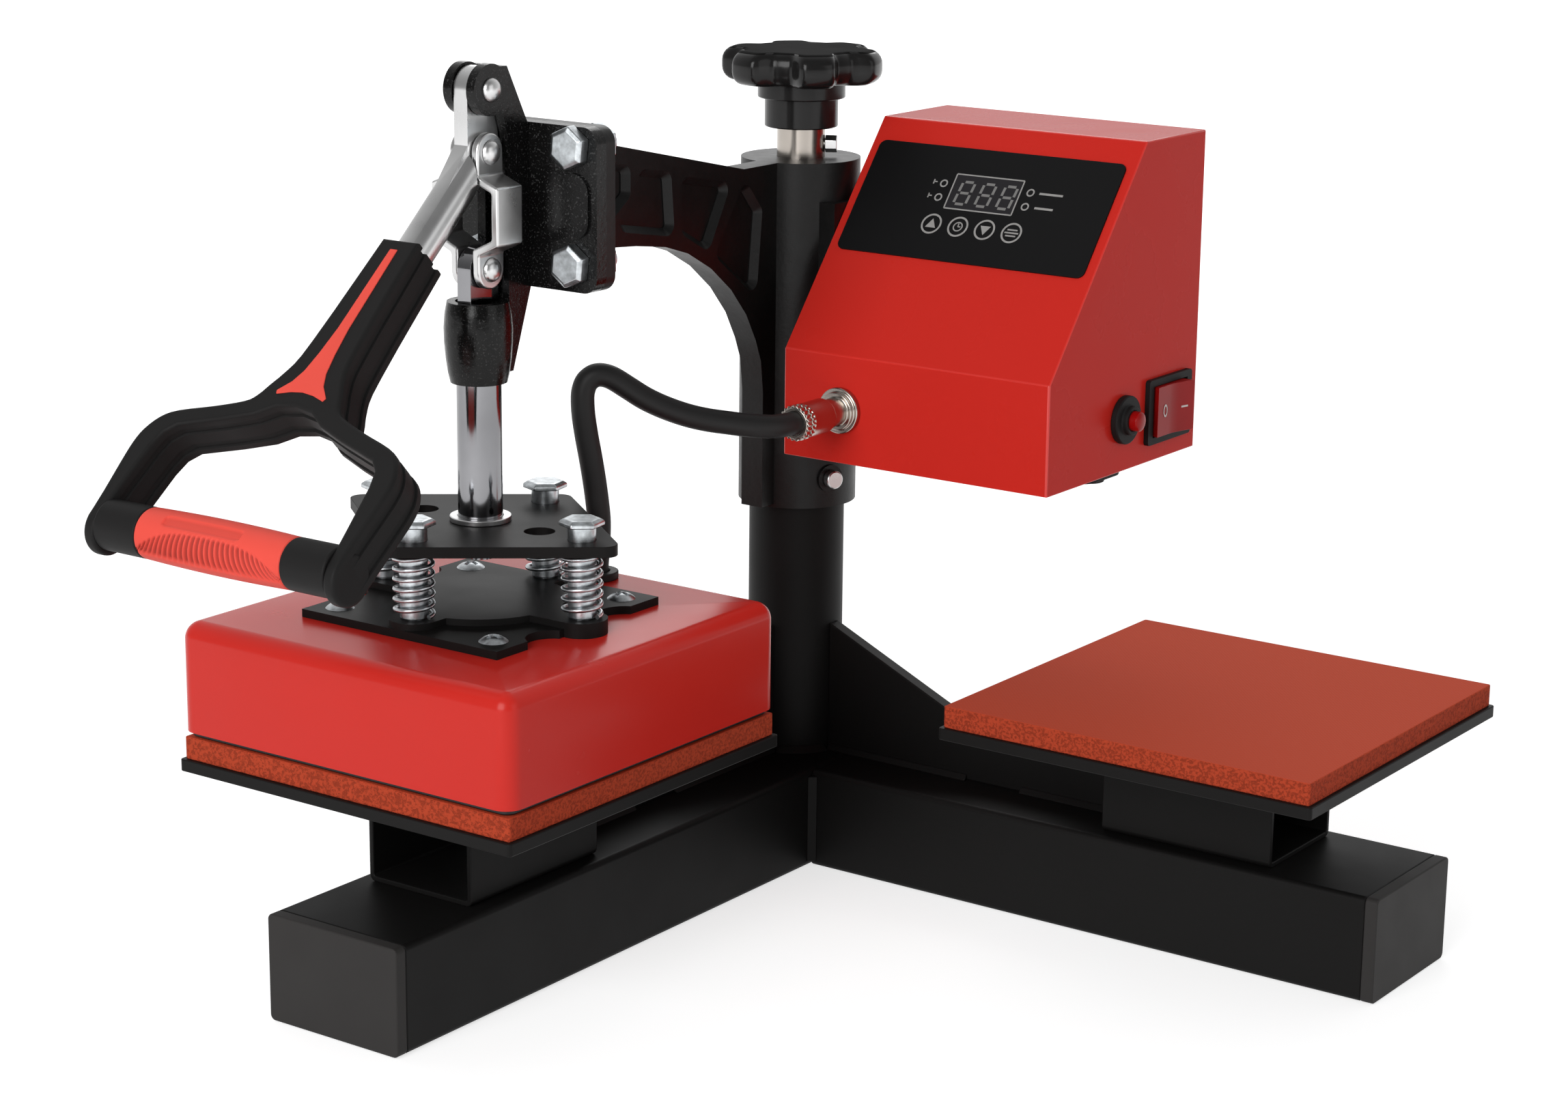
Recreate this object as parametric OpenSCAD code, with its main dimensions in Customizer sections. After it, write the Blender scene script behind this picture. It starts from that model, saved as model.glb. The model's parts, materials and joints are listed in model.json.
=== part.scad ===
// Two station heat press with a swing-away toggle arm.
// Floor at z = 0, column axis on the Z axis, front station along -Y, side station along +X.
// All sizes are in millimetres. The pose is the closed one, with the platen on the front pad.

/* [Base frame] */
// Width of the leg tubes
leg_w = 60; // [50:1:70]
// Height of the leg tubes
leg_h = 40; // [30:1:50]
// Reach of each leg from the column axis to the face of its end cap
leg_reach = 277; // [265:1:300]
// Distance from the column axis to the middle of each station
station = 195; // [185:1:205]
// Outside diameter of the column tube
column_d = 38.1; // [34:0.1:42]

/* [Press stations] */
// Side of the square silicone pads
pad_side = 150; // [140:1:155]
// Thickness of the silicone pads
pad_t = 8.3; // [6:0.1:10]
// Thickness of the plate under each pad
plate_t = 4.5; // [3:0.5:6]
// Height of the support channel on each leg
channel_h = 41.7; // [35:0.1:48]
// Width of the support channel
channel_w = 48; // [40:1:50]
// Length of the support channel
channel_len = 71; // [60:1:90]

/* [Heated platen] */
// Side of the square red cover
cover_side = 152; // [146:1:156]
// Height of the red cover
cover_h = 41.3; // [36:0.1:46]
// Outside diameter of the platen springs
spring_d = 15; // [14:0.5:16]
// Wire thickness of the platen springs
spring_wire = 1.7; // [1.5:0.1:1.9]
// Length of the platen springs with the press closed
spring_len = 24.1; // [23:0.1:27]

/* [Toggle and arm] */
// Diameter of the plunger rod
rod_d = 16; // [14:0.5:17]
// Distance from the fixed toggle pin to the lever pin
crank_len = 21.5; // [20:0.5:23]
// Length of the link straps between their pins
link_len = 40.9; // [40:0.1:46]
// Thickness of the arm web
web_t = 10; // [8:0.5:12]
// Outside diameter of the arm hub
hub_d = 47; // [45:0.5:50]
// Length of the arm hub
hub_len = 137; // [125:1:140]

/* [Handle] */
// Slope of the handle below the level
handle_slope = 42.15; // [38:0.5:46]
// Depth of the handle frame
handle_t = 17.7; // [15:0.1:19]
// Diameter of the red grip sleeve
grip_d = 16.4; // [15:0.1:18]

/* [Control box] */
// Width of the control box
box_w = 118; // [112:1:126]
// Depth of the control box
box_depth = 110.9; // [100:0.1:118]
// Height of the control box
box_h = 124; // [115:1:130]

/* [Knob] */
// Diameter over the lobes of the star knob
knob_d = 63.4; // [50:0.1:70]
// Thickness of the star
knob_t = 13.2; // [10:0.1:16]

/* [Hidden] */
$fn = 64;

leg_r = 2.2;
leg_wall = 2.5;
cap_t = 5;
column_r = column_d / 2;
gusset_low = 20;
channel_start = station - channel_len / 2;
plate_side = pad_side + 3;
z_plate = leg_h + channel_h;
z_pad = z_plate + plate_t + pad_t;
// platen levels, counted up from the top of the pad
z_heat = z_pad + 0.4;
heat_t = 12;
z_cover = z_pad + 1.2;
cover_wall = 1.5;
z_cover_top = z_cover + cover_h;
heat_side = cover_side - 4;
bow_t = 3;
z_bow = z_cover_top + bow_t;
z_seat = z_bow + 2.4;
z_spider = z_seat + spring_len;
spider_t = 4;
z_spider_top = z_spider + spider_t;
z_post_head = z_spider_top + 3.3;
post_x = 46;
post_y = 36;
post_r = 5;
post_at = [[post_x, 0], [0, post_y], [-post_x, 0], [0, -post_y]];
// toggle levels
rod_r = rod_d / 2;
z_boss = z_spider_top + 50.2;
z_boss_top = z_boss + 28.7;
z_c = z_boss_top + 11.5;
z_b = z_c + link_len;
z_a = z_b + crank_len;
arm_z = z_a - 44;
// the flange reaches further on the side of the side station
flange_w = 61;
flange_h = 58;
flange_x = 6.5;
flange_z = arm_z + 2.2;
flange_low = flange_z - flange_h / 2 + 0.5;
y_flange = -station + 20.2;
flange_t = 5.3;
y_plate = y_flange + flange_t;
plate_end_t = 5;
bolt_x = [-14.5, 27];
bolt_z = [arm_z + 3.4 - 20.75, arm_z + 3.4 + 20.75];
cheek_in = 3.4;
cheek_out = 7;
// hub levels
hub_r = hub_d / 2;
hub_top = arm_z + 0.2;
hub_bot = hub_top - hub_len;
hub_cap = 7.5;
bore_r = column_r + 0.05;
z_column = hub_top - hub_cap - 4;
sleeve_r = 9.45;
lock_a = -22;
lock_z = hub_bot + 11.8;
z_sleeve_top = hub_top + 11.5;
spindle_r = 5;
z_knob = z_sleeve_top + 0.3;
z_neck = z_knob + 11.3;
z_star = z_neck + 6;
// control box
box_x = hub_r + 2.5;
box_x1 = box_x + box_w;
box_z = hub_top - 108;
box_z1 = box_z + box_h;
box_y1 = 64.7;
box_y = box_y1 - box_depth;
box_top_y = box_y1 - 45.2;
box_slope_z = box_z + 41.5;
box_wall = 1.2;
slope_run = box_top_y - box_y;
slope_rise = box_z1 - box_slope_z;
slope_len = sqrt(slope_run * slope_run + slope_rise * slope_rise);
slope_a = atan2(slope_rise, slope_run);
panel_x = box_x + box_w / 2;
panel_s = slope_len / 2 - 17;
rocker_x = box_x1 - 3;
rocker_y = box_y1 - 23.4;
rocker_z = box_z + 19.6;
breaker_y = box_y1 - 56.5;
breaker_z = box_z + 20.2;
socket_x = box_x + 26.5;
socket_z = box_z + 20.8;
plug_end = box_y - 31;
// handle: origin at the top of its front face
hand_y = -station - 39.7;
hand_z = z_a - 47.4;
// inner end of the lever's flat part
lever_end = [hand_y + 26 * cos(handle_slope) + handle_t / 2 * sin(handle_slope),
  hand_z + 26 * sin(handle_slope) - handle_t / 2 * cos(handle_slope)];
bar_u = 126.8;
bar_n = handle_t / 2;
foot_in = 48.5;
shank_r = 6.75;
grip_half = 32.7;
flange_on_grip_r = 7.5;
// cable from the plug to the platen cover, along the middle of the cable
cab_r = 4.4;
cable_end = [4, -station + 61];
cable_route = [[52.5, -72, 192.5], [52.5, -77, 192.5], [52, -81, 192.5], [50.5, -86, 192.5],
  [47.5, -91, 193], [43.5, -95.5, 193.7], [39, -100, 194.7], [33.5, -105.5, 196], [28, -111, 198],
  [22, -116.5, 201], [17, -121.5, 204.5], [12.5, -125.5, 208.4], [9, -129, 211.7], [7, -131, 213.1],
  [5, -133, 213.7], [3.2, -134.8, 213.2], [1.6, -136.4, 211.4], [0.8, -137.2, 209], [0.4, -137.6, 205.6],
  [0.6, -137.4, 199], [1.4, -136.6, 191], [2.4, -135.6, 183], [3.4, -134.6, 174], [4.2, -133.8, 165],
  [4.6, -133.4, 158], [4.4, -133.6, 149], [4, -134, 142], [4, -134, 137], [4, -134, 131]];
// how far the socket and the hole in the cover have moved from the places the route was drawn for
plug_move = [socket_x, box_y, socket_z] - [52.5, -46.2, 192.3];
hole_move = [cable_end[0], cable_end[1], z_cover_top] - [4, -134, 137];
cable_pts = [for (i = [0 : len(cable_route) - 1]) let (w = min(1, max(0, (i - 3) / 15)))
  cable_route[i] + (1 - w) * plug_move + w * hole_move];

// ---- helpers ----
module rr(w, h, r) {
  square([w - 2 * r, h], center = true);
  square([w, h - 2 * r], center = true);
  for (x = [-1, 1], y = [-1, 1]) translate([x * (w / 2 - r), y * (h / 2 - r)]) circle(r);
}
module oval(w, h) {
  r = w / 2;
  square([w, h - w], center = true);
  for (y = [-1, 1]) translate([0, y * (h / 2 - r)]) circle(r);
}
// flat bar with round ends about two centres
module bar(c1, r1, c2, r2) {
  n = [c1[1] - c2[1], c2[0] - c1[0]] / norm(c2 - c1);
  translate(c1) circle(r1);
  translate(c2) circle(r2);
  polygon([c1 + n * r1, c2 + n * r2, c2 - n * r2, c1 - n * r1]);
}
module along_x(x0, len) { translate([x0, 0, 0]) rotate([90, 0, 90]) linear_extrude(len) children(); }
module rod_x(x0, x1, y, z, r) { translate([x0, y, z]) rotate([0, 90, 0]) cylinder(h = x1 - x0, r = r); }
module dome(r, h) {
  rotate_extrude() polygon(concat([[0, 0], [r, 0]],
    [for (a = [15 : 15 : 75]) [r * cos(a), h * sin(a)]], [[0, h]]));
}
module hex(af, h) { cylinder(h = h, r = af / 2 / cos(30), $fn = 6); }
module at_stations() {
  translate([0, -station, 0]) children();
  translate([station, 0, 0]) rotate(90) children();
}
module at_front() { translate([0, -station, 0]) children(); }
module at_slope() { translate([0, box_top_y, box_z1]) rotate([slope_a, 0, 0]) children(); }
module at_handle() {
  translate([0, hand_y, hand_z]) rotate([handle_slope, 0, 0]) scale([1, -1, -1]) children();
}
function unit(v) = v / norm(v);
// triangles of a closed tube of m rings with n points each
function tube_faces(m, n) = concat(
  [for (k = [1 : n - 2]) [0, k + 1, k]],
  [for (i = [0 : m - 2], k = [0 : n - 1]) each let (a = i * n + k, b = i * n + (k + 1) % n)
    [[a, b, b + n], [a, b + n, a + n]]],
  [for (k = [1 : n - 2]) (m - 1) * n * [1, 1, 1] + [0, k, k + 1]]);
module tube_on(pts, r, n) {
  m = len(pts);
  dirs = [for (i = [0 : m - 1]) unit(pts[min(i + 1, m - 1)] - pts[max(i - 1, 0)])];
  side = cross(dirs[0], [0, 0, 1]);
  s0 = unit(norm(side) < 0.1 ? [1, 0, 0] : side);
  rings = [for (i = [0 : m - 1]) let (s = unit(s0 - (s0 * dirs[i]) * dirs[i]), t = cross(s, dirs[i]))
    for (k = [0 : n - 1]) pts[i] + r * (cos(360 * k / n) * s + sin(360 * k / n) * t)];
  polyhedron(points = rings, faces = tube_faces(m, n));
}

// ---- base frame ----
module leg_section() { difference() { rr(leg_w, leg_h, leg_r); rr(leg_w - 2 * leg_wall, leg_h - 2 * leg_wall, 1); } }
module front_leg() {
  color([0.13, 0.13, 0.13])
  translate([0, leg_w / 2, leg_h / 2]) rotate([90, 0, 0])
    linear_extrude(leg_reach + leg_w / 2 - cap_t) leg_section();
}
module side_leg() {
  color([0.13, 0.13, 0.13])
  translate([0, 0, leg_h / 2]) along_x(leg_w / 2, leg_reach - leg_w / 2 - cap_t) leg_section();
}
module end_cap() {
  linear_extrude(cap_t) rr(leg_w, leg_h, leg_r);
  translate([0, 0, -9]) linear_extrude(9.5) rr(leg_w - 2 * leg_wall - 0.2, leg_h - 2 * leg_wall - 0.2, 0.9);
}
module end_caps() {
  color([0.1, 0.1, 0.1]) {
    translate([0, cap_t - leg_reach, leg_h / 2]) rotate([90, 0, 0]) end_cap();
    translate([0, leg_w / 2, leg_h / 2]) rotate([-90, 0, 0]) end_cap();
    translate([leg_reach - cap_t, 0, leg_h / 2]) rotate([90, 0, 90]) end_cap();
  }
}
module column() {
  color([0.1, 0.1, 0.1]) translate([0, 0, leg_h]) difference() {
    cylinder(h = z_column - leg_h, r = column_r);
    translate([0, 0, -1]) cylinder(h = z_column, r = column_r - 3);
  }
}
module column_bush() {
  color([0.6, 0.6, 0.6]) translate([0, 0, z_column - 22]) difference() {
    cylinder(h = 22, r = column_r - 3);
    translate([0, 0, -1]) cylinder(h = 30, r = spindle_r + 0.05);
  }
}
// one gusset, outline in reach and height above the leg; it runs on as a low rib to the channel
module gusset() {
  translate([0, 3, leg_h]) rotate([90, 0, 0]) linear_extrude(6) polygon([
    [column_r - 0.3, 0], [channel_start, 0], [channel_start, gusset_low], [92, gusset_low],
    [column_r - 0.3, 53]]);
}
module gussets() {
  color([0.13, 0.13, 0.13]) difference() {
    union() { gusset(); rotate(-90) gusset(); }
    cylinder(h = 200, r = column_r);
  }
}
module bead(x0, x1) {
  for (s = [-1, 1]) translate([x0, s * 3, leg_h]) rotate([90, 0, 90]) linear_extrude(x1 - x0)
    polygon([[0, 0], [s * 2.4, 0], [0, 2.4]]);
}
module weld_beads() {
  color([0.16, 0.16, 0.16]) {
    difference() {
      translate([0, 0, leg_h]) rotate_extrude() polygon([[column_r, 0], [column_r + 3, 0], [column_r, 3]]);
      for (a = [0, -90]) rotate(a) translate([0, -5.6, 0]) cube([60, 11.2, 100]);
    }
    for (a = [0, -90]) rotate(a) { bead(column_r + 0.4, 86); bead(111, channel_start - 4); }
    translate([leg_w / 2, -leg_w / 2, leg_r]) linear_extrude(leg_h - 2 * leg_r)
      polygon([[0, 0], [3, 0], [0, -3]]);
  }
}

// ---- stations ----
module support_channels() {
  color([0.13, 0.13, 0.13]) at_stations() translate([0, channel_len / 2, leg_h + channel_h / 2])
    rotate([90, 0, 0]) linear_extrude(channel_len) difference() {
      rr(channel_w, channel_h, 2.5);
      rr(channel_w - 4, channel_h - 4, 1);
    }
}
module station_plates() {
  color([0.13, 0.13, 0.13]) at_stations() translate([0, 0, z_plate]) linear_extrude(plate_t)
    rr(plate_side, plate_side, 1.5);
}
module silicone_pads() {
  color([0.75, 0.28, 0.2]) at_stations() translate([0, 0, z_plate + plate_t]) linear_extrude(pad_t)
    rr(pad_side, pad_side, 1);
}

// ---- height setting ----
module lift_sleeve() {
  color([0.8, 0.8, 0.82]) difference() {
    union() {
      translate([0, 0, z_column + 0.3]) cylinder(h = z_sleeve_top - z_column - 0.3, r = sleeve_r);
      translate([0, 0, z_column + 0.3]) cylinder(h = 3.4, r = 15);
    }
    cylinder(h = 400, r = spindle_r + 0.05);
    rotate(30) translate([0, 0, hub_top + 5]) rotate([0, 90, 0]) cylinder(h = 20, r = 2.05);
  }
}
module sleeve_screw() {
  color([0.8, 0.8, 0.78]) rotate(30) translate([0, 0, hub_top + 5]) rotate([0, 90, 0]) {
    translate([0, 0, 5.6]) cylinder(h = 4.6, r = 2);
    translate([0, 0, sleeve_r + 0.15]) hex(6, 4.6);
  }
}
module star_knob() {
  color([0.08, 0.08, 0.08]) {
    translate([0, 0, z_knob]) cylinder(h = z_neck - z_knob, r = 14.4);
    translate([0, 0, z_neck]) cylinder(h = z_star - z_neck, r = 17.2);
    translate([0, 0, z_star]) linear_extrude(knob_t) {
      circle(knob_d / 2 - 8);
      for (a = [0 : 60 : 300]) rotate(a + 22) {
        translate([knob_d / 2 - 9, 0]) circle(9);
        translate([knob_d / 4 - 4, 0]) square([knob_d / 2 - 8, 14], center = true);
      }
    }
  }
}
module knob_spindle() {
  color([0.75, 0.75, 0.76]) translate([0, 0, z_column - 40]) cylinder(h = z_knob - z_column + 40, r = spindle_r);
}

// ---- swing arm ----
module web_outline() {
  y0 = y_plate + plate_end_t - 0.5;
  polygon([[y0, arm_z + 26.4], [-44.7, hub_top], [0, hub_top], [0, hub_bot + 1.5], [-31, hub_bot + 1.5],
    [-31, arm_z - 89], [-32.5, arm_z - 76.3], [-36.2, arm_z - 67.3], [-42.5, arm_z - 56.4],
    [-52.5, arm_z - 45.3], [-65.5, arm_z - 35.3], [-80, arm_z - 27.7], [-93.8, arm_z - 23.5],
    [-111.6, arm_z - 20.9], [y0, arm_z - 16.2]]);
}
module pocket_outlines() {
  q = y_plate + plate_end_t + 10;
  offset(1.5) offset(-1.5) {
    polygon([[q, arm_z + 14], [-117.5, arm_z + 7], [-117.5, arm_z - 0.8], [-130, arm_z - 9.3], [q, arm_z - 9]]);
    polygon([[-106.9, arm_z + 4.3], [-92.9, arm_z + 2], [-91, arm_z - 17.2], [-119.4, arm_z - 12.2]]);
    polygon([[-81.9, arm_z - 1.1], [-56.7, arm_z - 5.8], [-67.9, arm_z - 25.4], [-81.2, arm_z - 18.5]]);
    polygon([[-43.8, arm_z - 7.7], [-35.1, arm_z - 17.6], [-38, arm_z - 46], [-59.6, arm_z - 30.3]]);
  }
}
module arm_casting() {
  color([0.11, 0.11, 0.11]) difference() {
    union() {
      translate([0, 0, hub_bot]) cylinder(h = hub_len, r = hub_r);
      along_x(-web_t / 2, web_t) web_outline();
      translate([flange_x, y_plate, flange_z]) rotate([-90, 0, 0]) linear_extrude(plate_end_t)
        rr(flange_w, flange_h, 6);
      // pad for the control box
      translate([15, -14, box_z + 15]) cube([box_x - 15, 28, 78]);
      // small boss for the lock screw
      rotate(lock_a) translate([0, 0, lock_z]) rotate([0, 90, 0]) cylinder(h = hub_r + 1, r = 5.5);
    }
    translate([0, 0, hub_bot - 1]) cylinder(h = hub_len + 1 - hub_cap, r = bore_r);
    cylinder(h = 400, r = sleeve_r + 0.05);
    along_x(web_t / 2 - 3, 4) pocket_outlines();
    along_x(-web_t / 2 - 1, 4) pocket_outlines();
    for (x = bolt_x, z = bolt_z) translate([x, y_plate - 1, z])
      rotate([-90, 0, 0]) cylinder(h = 9, r = 4.05);
    rotate(lock_a) translate([0, 0, lock_z]) rotate([0, 90, 0]) cylinder(h = 40, r = 2.55);
  }
}
module hub_lock_screw() {
  color([0.8, 0.79, 0.75]) rotate(lock_a) translate([0, 0, lock_z]) rotate([0, 90, 0]) {
    translate([0, 0, bore_r + 0.4]) cylinder(h = hub_r + 1 - bore_r, r = 2.5);
    translate([0, 0, hub_r + 1]) cylinder(h = 3.6, r = 3.6);
  }
}
module cheek_outline() {
  translate([-station, z_a]) circle(9);
  polygon([[-station - 4, z_a + 8.06], [-station + 8.5, z_a + 7.6], [y_flange, arm_z + 29.5],
    [y_flange, flange_low], [-station + 8.5, arm_z - 31], [-station + 8.5, z_a - 16],
    [-station + 6, z_a - 8], [-station, z_a - 5]]);
}
module toggle_casting() {
  color([0.09, 0.09, 0.09]) difference() {
    union() {
      translate([flange_x, y_flange, flange_z]) rotate([-90, 0, 0]) linear_extrude(flange_t)
        rr(flange_w, flange_h, 6);
      translate([bolt_x[1], y_flange - 1, (bolt_z[0] + bolt_z[1]) / 2]) rotate([-90, 0, 0])
        linear_extrude(2) oval(13.5, 23);
      along_x(cheek_in, cheek_out - cheek_in) cheek_outline();
      along_x(-cheek_out, cheek_out - cheek_in) cheek_outline();
      // wall that joins the cheeks behind the lever
      translate([-cheek_in - 0.5, y_flange - 5, flange_low]) cube([2 * cheek_in + 1, 6, flange_h - 2]);
      // rib down to the guide boss
      along_x(-cheek_out, 2 * cheek_out) polygon([[y_flange + 0.5, arm_z - 24], [y_flange + 0.5, flange_low],
        [-station + 10.5, z_boss + 3], [-station, z_boss + 3], [-station, z_boss_top - 0.5],
        [-station + 9, z_boss_top - 0.5], [-station + 10.5, arm_z - 24]]);
      translate([0, -station, z_boss]) rotate_extrude() polygon([[0, 0], [10.1, 0], [10.9, 3.5], [11.6, 8.5],
        [12.1, 14.5], [12.2, 19.5], [11.8, 24.5], [11, z_boss_top - z_boss], [0, z_boss_top - z_boss]]);
    }
    translate([0, -station, z_boss - 1]) cylinder(h = z_boss_top - z_boss + 2, r = rod_r + 0.05);
    rod_x(-20, 20, -station, z_a, 4);
    for (x = bolt_x, z = bolt_z) translate([x, y_flange - 2, z])
      rotate([-90, 0, 0]) cylinder(h = 12, r = 4.05);
  }
}
module flange_bolts() {
  color([0.82, 0.82, 0.8]) for (x = bolt_x, z = bolt_z)
    translate([x, y_flange, z]) rotate([-90, 0, 0]) {
      translate([0, 0, -5]) rotate(20) hex(14, 5);
      cylinder(h = flange_t + plate_end_t + 9.5, r = 4);
      translate([0, 0, flange_t + plate_end_t]) rotate(12) hex(13, 6.5);
    }
}
module pin_heads(x) {
  for (s = [-1, 1]) rotate([0, 90 * s, 0]) translate([0, 0, x]) dome(4.3, 2.6);
}
module fixed_pin() {
  color([0.8, 0.8, 0.8]) translate([0, -station, z_a]) {
    rotate([0, 90, 0]) translate([0, 0, -cheek_out]) cylinder(h = 2 * cheek_out, r = 3.95);
    pin_heads(cheek_out);
  }
}

// ---- control box ----
module box_side(w) {
  polygon([[box_y1 - w, box_z + w], [box_y1 - w, box_z1 - w], [box_top_y + w * 0.35, box_z1 - w],
    [box_y + w, box_slope_z - w * 0.55], [box_y + w, box_z + w]]);
}
module box_shell() {
  color([0.75, 0.1, 0.1]) difference() {
    along_x(box_x, box_w) box_side(0);
    along_x(box_x + box_wall, box_w - 2 * box_wall) box_side(box_wall);
    translate([box_x + box_wall, box_y1 - 5, box_z + box_wall])
      cube([box_w - 2 * box_wall, 20, box_h - 2 * box_wall]);
    translate([box_x1 - 5, rocker_y - 13.4, rocker_z - 10.6]) cube([10, 26.8, 21.2]);
    rod_x(box_x1 - 5, box_x1 + 5, breaker_y, breaker_z, 5.5);
    translate([socket_x, box_y - 3, socket_z]) rotate([-90, 0, 0]) cylinder(h = 8, r = 6.5);
    translate([box_x1 - 11, 3, box_z - 2]) cylinder(h = 8, r = 4);
  }
}
module box_back() {
  color([0.7, 0.1, 0.1]) translate([box_x + box_wall, box_y1 - 1.6, box_z + box_wall])
    cube([box_w - 2 * box_wall, 1.2, box_h - 2 * box_wall]);
}
module key_panel() {
  color([0.09, 0.1, 0.13]) at_slope() difference() {
    translate([panel_x, -panel_s, 0]) linear_extrude(0.8) rr(110, 49.5, 3);
    translate([panel_x - 0.3, -panel_s + 5.7, -1]) linear_extrude(3) square([30.8, 14.8], center = true);
  }
}
module display_window() {
  color([0.02, 0.02, 0.03]) at_slope() translate([panel_x - 0.3, -panel_s + 5.7, 0])
    linear_extrude(0.6) square([30.8, 14.8], center = true);
}
module digit() {
  for (y = [-4.5, 0, 4.5]) translate([0, y]) square([3.8, 1], center = true);
  for (x = [-2.5, 2.5], y = [-2.25, 2.25]) translate([x, y]) square([1, 3.4], center = true);
  translate([4.3, -4.5]) circle(0.55);
}
module display_digits() {
  color([0.9, 0.2, 0.15]) at_slope() for (i = [-1 : 1])
    translate([panel_x - 0.9 + i * 9, -panel_s + 5.7, 0.6]) linear_extrude(0.15) digit();
}
module panel_keys() {
  color([0.2, 0.22, 0.27]) at_slope() for (i = [-1.5 : 1.5])
    translate([panel_x + 0.1 + i * 11.9, -panel_s - 9, 0.8]) linear_extrude(0.3) circle(4.4);
}
module panel_lamps() {
  color([0.85, 0.85, 0.85]) at_slope() for (x = [-19.4, 19.2], y = [8.6, 2.5])
    translate([panel_x + x, -panel_s + y, 0.8]) linear_extrude(0.2) circle(1.5);
}
module switch_frame() {
  color([0.05, 0.05, 0.05]) translate([box_x1, rocker_y, rocker_z]) difference() {
    union() {
      along_x(0, 2) rr(33, 25.4, 1.5);
      along_x(-14, 14) square([26.8, 21.2], center = true);
    }
    along_x(-15, 20) square([26, 20], center = true);
    translate([rocker_x - box_x1, 0, -12]) cylinder(h = 24, r = 1.25);
  }
}
module power_rocker() {
  color([0.8, 0.08, 0.06]) translate([rocker_x, rocker_y, rocker_z]) rotate([0, 0, -7]) {
    translate([0, 0, -9.7]) linear_extrude(19.4)
      polygon([[-4, -8], [-4, 8], [8.2, 11.6], [7.1, 3], [6.8, 0], [7.1, -3], [8.2, -11.6]]);
    translate([0, 0, -10.5]) cylinder(h = 21, r = 1.2);
  }
}
module breaker_collar() {
  color([0.06, 0.06, 0.06]) translate([box_x1, breaker_y, breaker_z]) rotate([0, 90, 0]) difference() {
    union() { cylinder(h = 2.8, r = 9.3); cylinder(h = 5, r = 5.6); translate([0, 0, -9]) cylinder(h = 9.2, r = 5.45); }
    translate([0, 0, -10]) cylinder(h = 20, r = 3.8);
  }
}
module reset_button() {
  color([0.8, 0.1, 0.08]) translate([box_x1 - 1.5, breaker_y, breaker_z]) rotate([0, 90, 0]) {
    cylinder(h = 9, r = 3.75);
    translate([0, 0, 9]) dome(3.75, 1.2);
  }
}
module cord_gland() {
  color([0.05, 0.05, 0.05]) translate([box_x1 - 11, 3, box_z]) rotate([180, 0, 0]) difference() {
    union() { linear_extrude(2.6) oval(16, 30); cylinder(h = 4.2, r = 6); translate([0, 0, -3]) cylinder(h = 4, r = 3.95); }
    translate([0, 0, -5]) cylinder(h = 20, r = 3);
  }
}
module panel_socket() {
  color([0.78, 0.78, 0.78]) translate([socket_x, box_y, socket_z]) rotate([90, 0, 0]) {
    cylinder(h = 2.4, r = 8.85);
    cylinder(h = 4, r = 7.3);
    translate([0, 0, -5]) cylinder(h = 6, r = 6.42);
    cylinder(h = 15, r = 5.5);
  }
}
module cable_plug() {
  color([0.75, 0.75, 0.75]) translate([socket_x, box_y, socket_z]) rotate([90, 0, 0]) difference() {
    union() {
      translate([0, 0, 12.6]) cylinder(h = 13.4, r = 6.6);
      translate([0, 0, 25]) cylinder(h = 6, r = 6);
    }
    cylinder(h = 15.05, r = 5.55);
    translate([0, 0, 22]) cylinder(h = 20, r = cab_r + 0.05);
  }
}

// ---- handle and lever ----
// half width of the link straps, seen from the side
strap_half = 6.8;
module toggle_lever() {
  hx = cheek_in - 0.4;
  color([0.78, 0.78, 0.77]) difference() {
    union() {
      along_x(-hx, 2 * hx) {
        bar([-station, z_a], 8, [-station, z_b], 8);
        bar([-station, z_b], 8, lever_end, 6);
      }
      at_handle() translate([0, 0, handle_t / 2]) rotate([-90, 0, 0]) {
        translate([0, 0, -41]) cylinder(h = 73, r = shank_r);
      }
    }
    rod_x(-20, 20, -station, z_a, 4);
    rod_x(-20, 20, -station, z_b, 3.8);
    // flats that clear the straps
    for (x = [-hx - 10, hx]) translate([x, -station - strap_half - 0.7, z_b - 30]) cube([10, 40, 60]);
  }
}
function frame_half() = [[8, 0], [9.5, 32], [11, 52], [13.5, 60], [16, 65], [18.5, 70], [22, 73], [33, 77],
  [47, 81.2], [53, 85], [56.6, 91], [57.6, 97], [57.3, 105], [56.4, 117], [56, bar_u], [foot_in, bar_u],
  [foot_in, bar_u - 10], [49, 112], [49.2, 97], [47.4, 91], [43.6, 87.2], [27, 82.2], [15, 78], [8, 73.4], [0, 72]];
module frame_outline() {
  p = frame_half();
  polygon(concat(p, [for (i = [len(p) - 2 : -1 : 0]) [-p[i][0], p[i][1]]]));
}
module inlay_outline() {
  p = [[1.6, 4.5], [2.3, 39], [3.4, 50], [4.8, 58], [7, 63], [11, 67.4], [10.4, 68.8], [5, 67.2], [0, 66.6]];
  polygon(concat(p, [for (i = [len(p) - 2 : -1 : 0]) [-p[i][0], p[i][1]]]));
}
module handle_frame() {
  color([0.08, 0.08, 0.08]) at_handle() difference() {
    union() {
      linear_extrude(handle_t) frame_outline();
      for (x = [-56, foot_in]) translate([x, bar_u, bar_n]) rotate([0, 90, 0])
        cylinder(h = 56 - foot_in, r = handle_t / 2);
    }
    translate([0, 0, -1]) linear_extrude(2.2) inlay_outline();
    translate([0, -1, handle_t / 2]) rotate([-90, 0, 0]) cylinder(h = 33, r = shank_r);
  }
}
module handle_inlay() {
  color([0.9, 0.3, 0.25]) at_handle() translate([0, 0, -0.3]) linear_extrude(1.5) inlay_outline();
}
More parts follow.
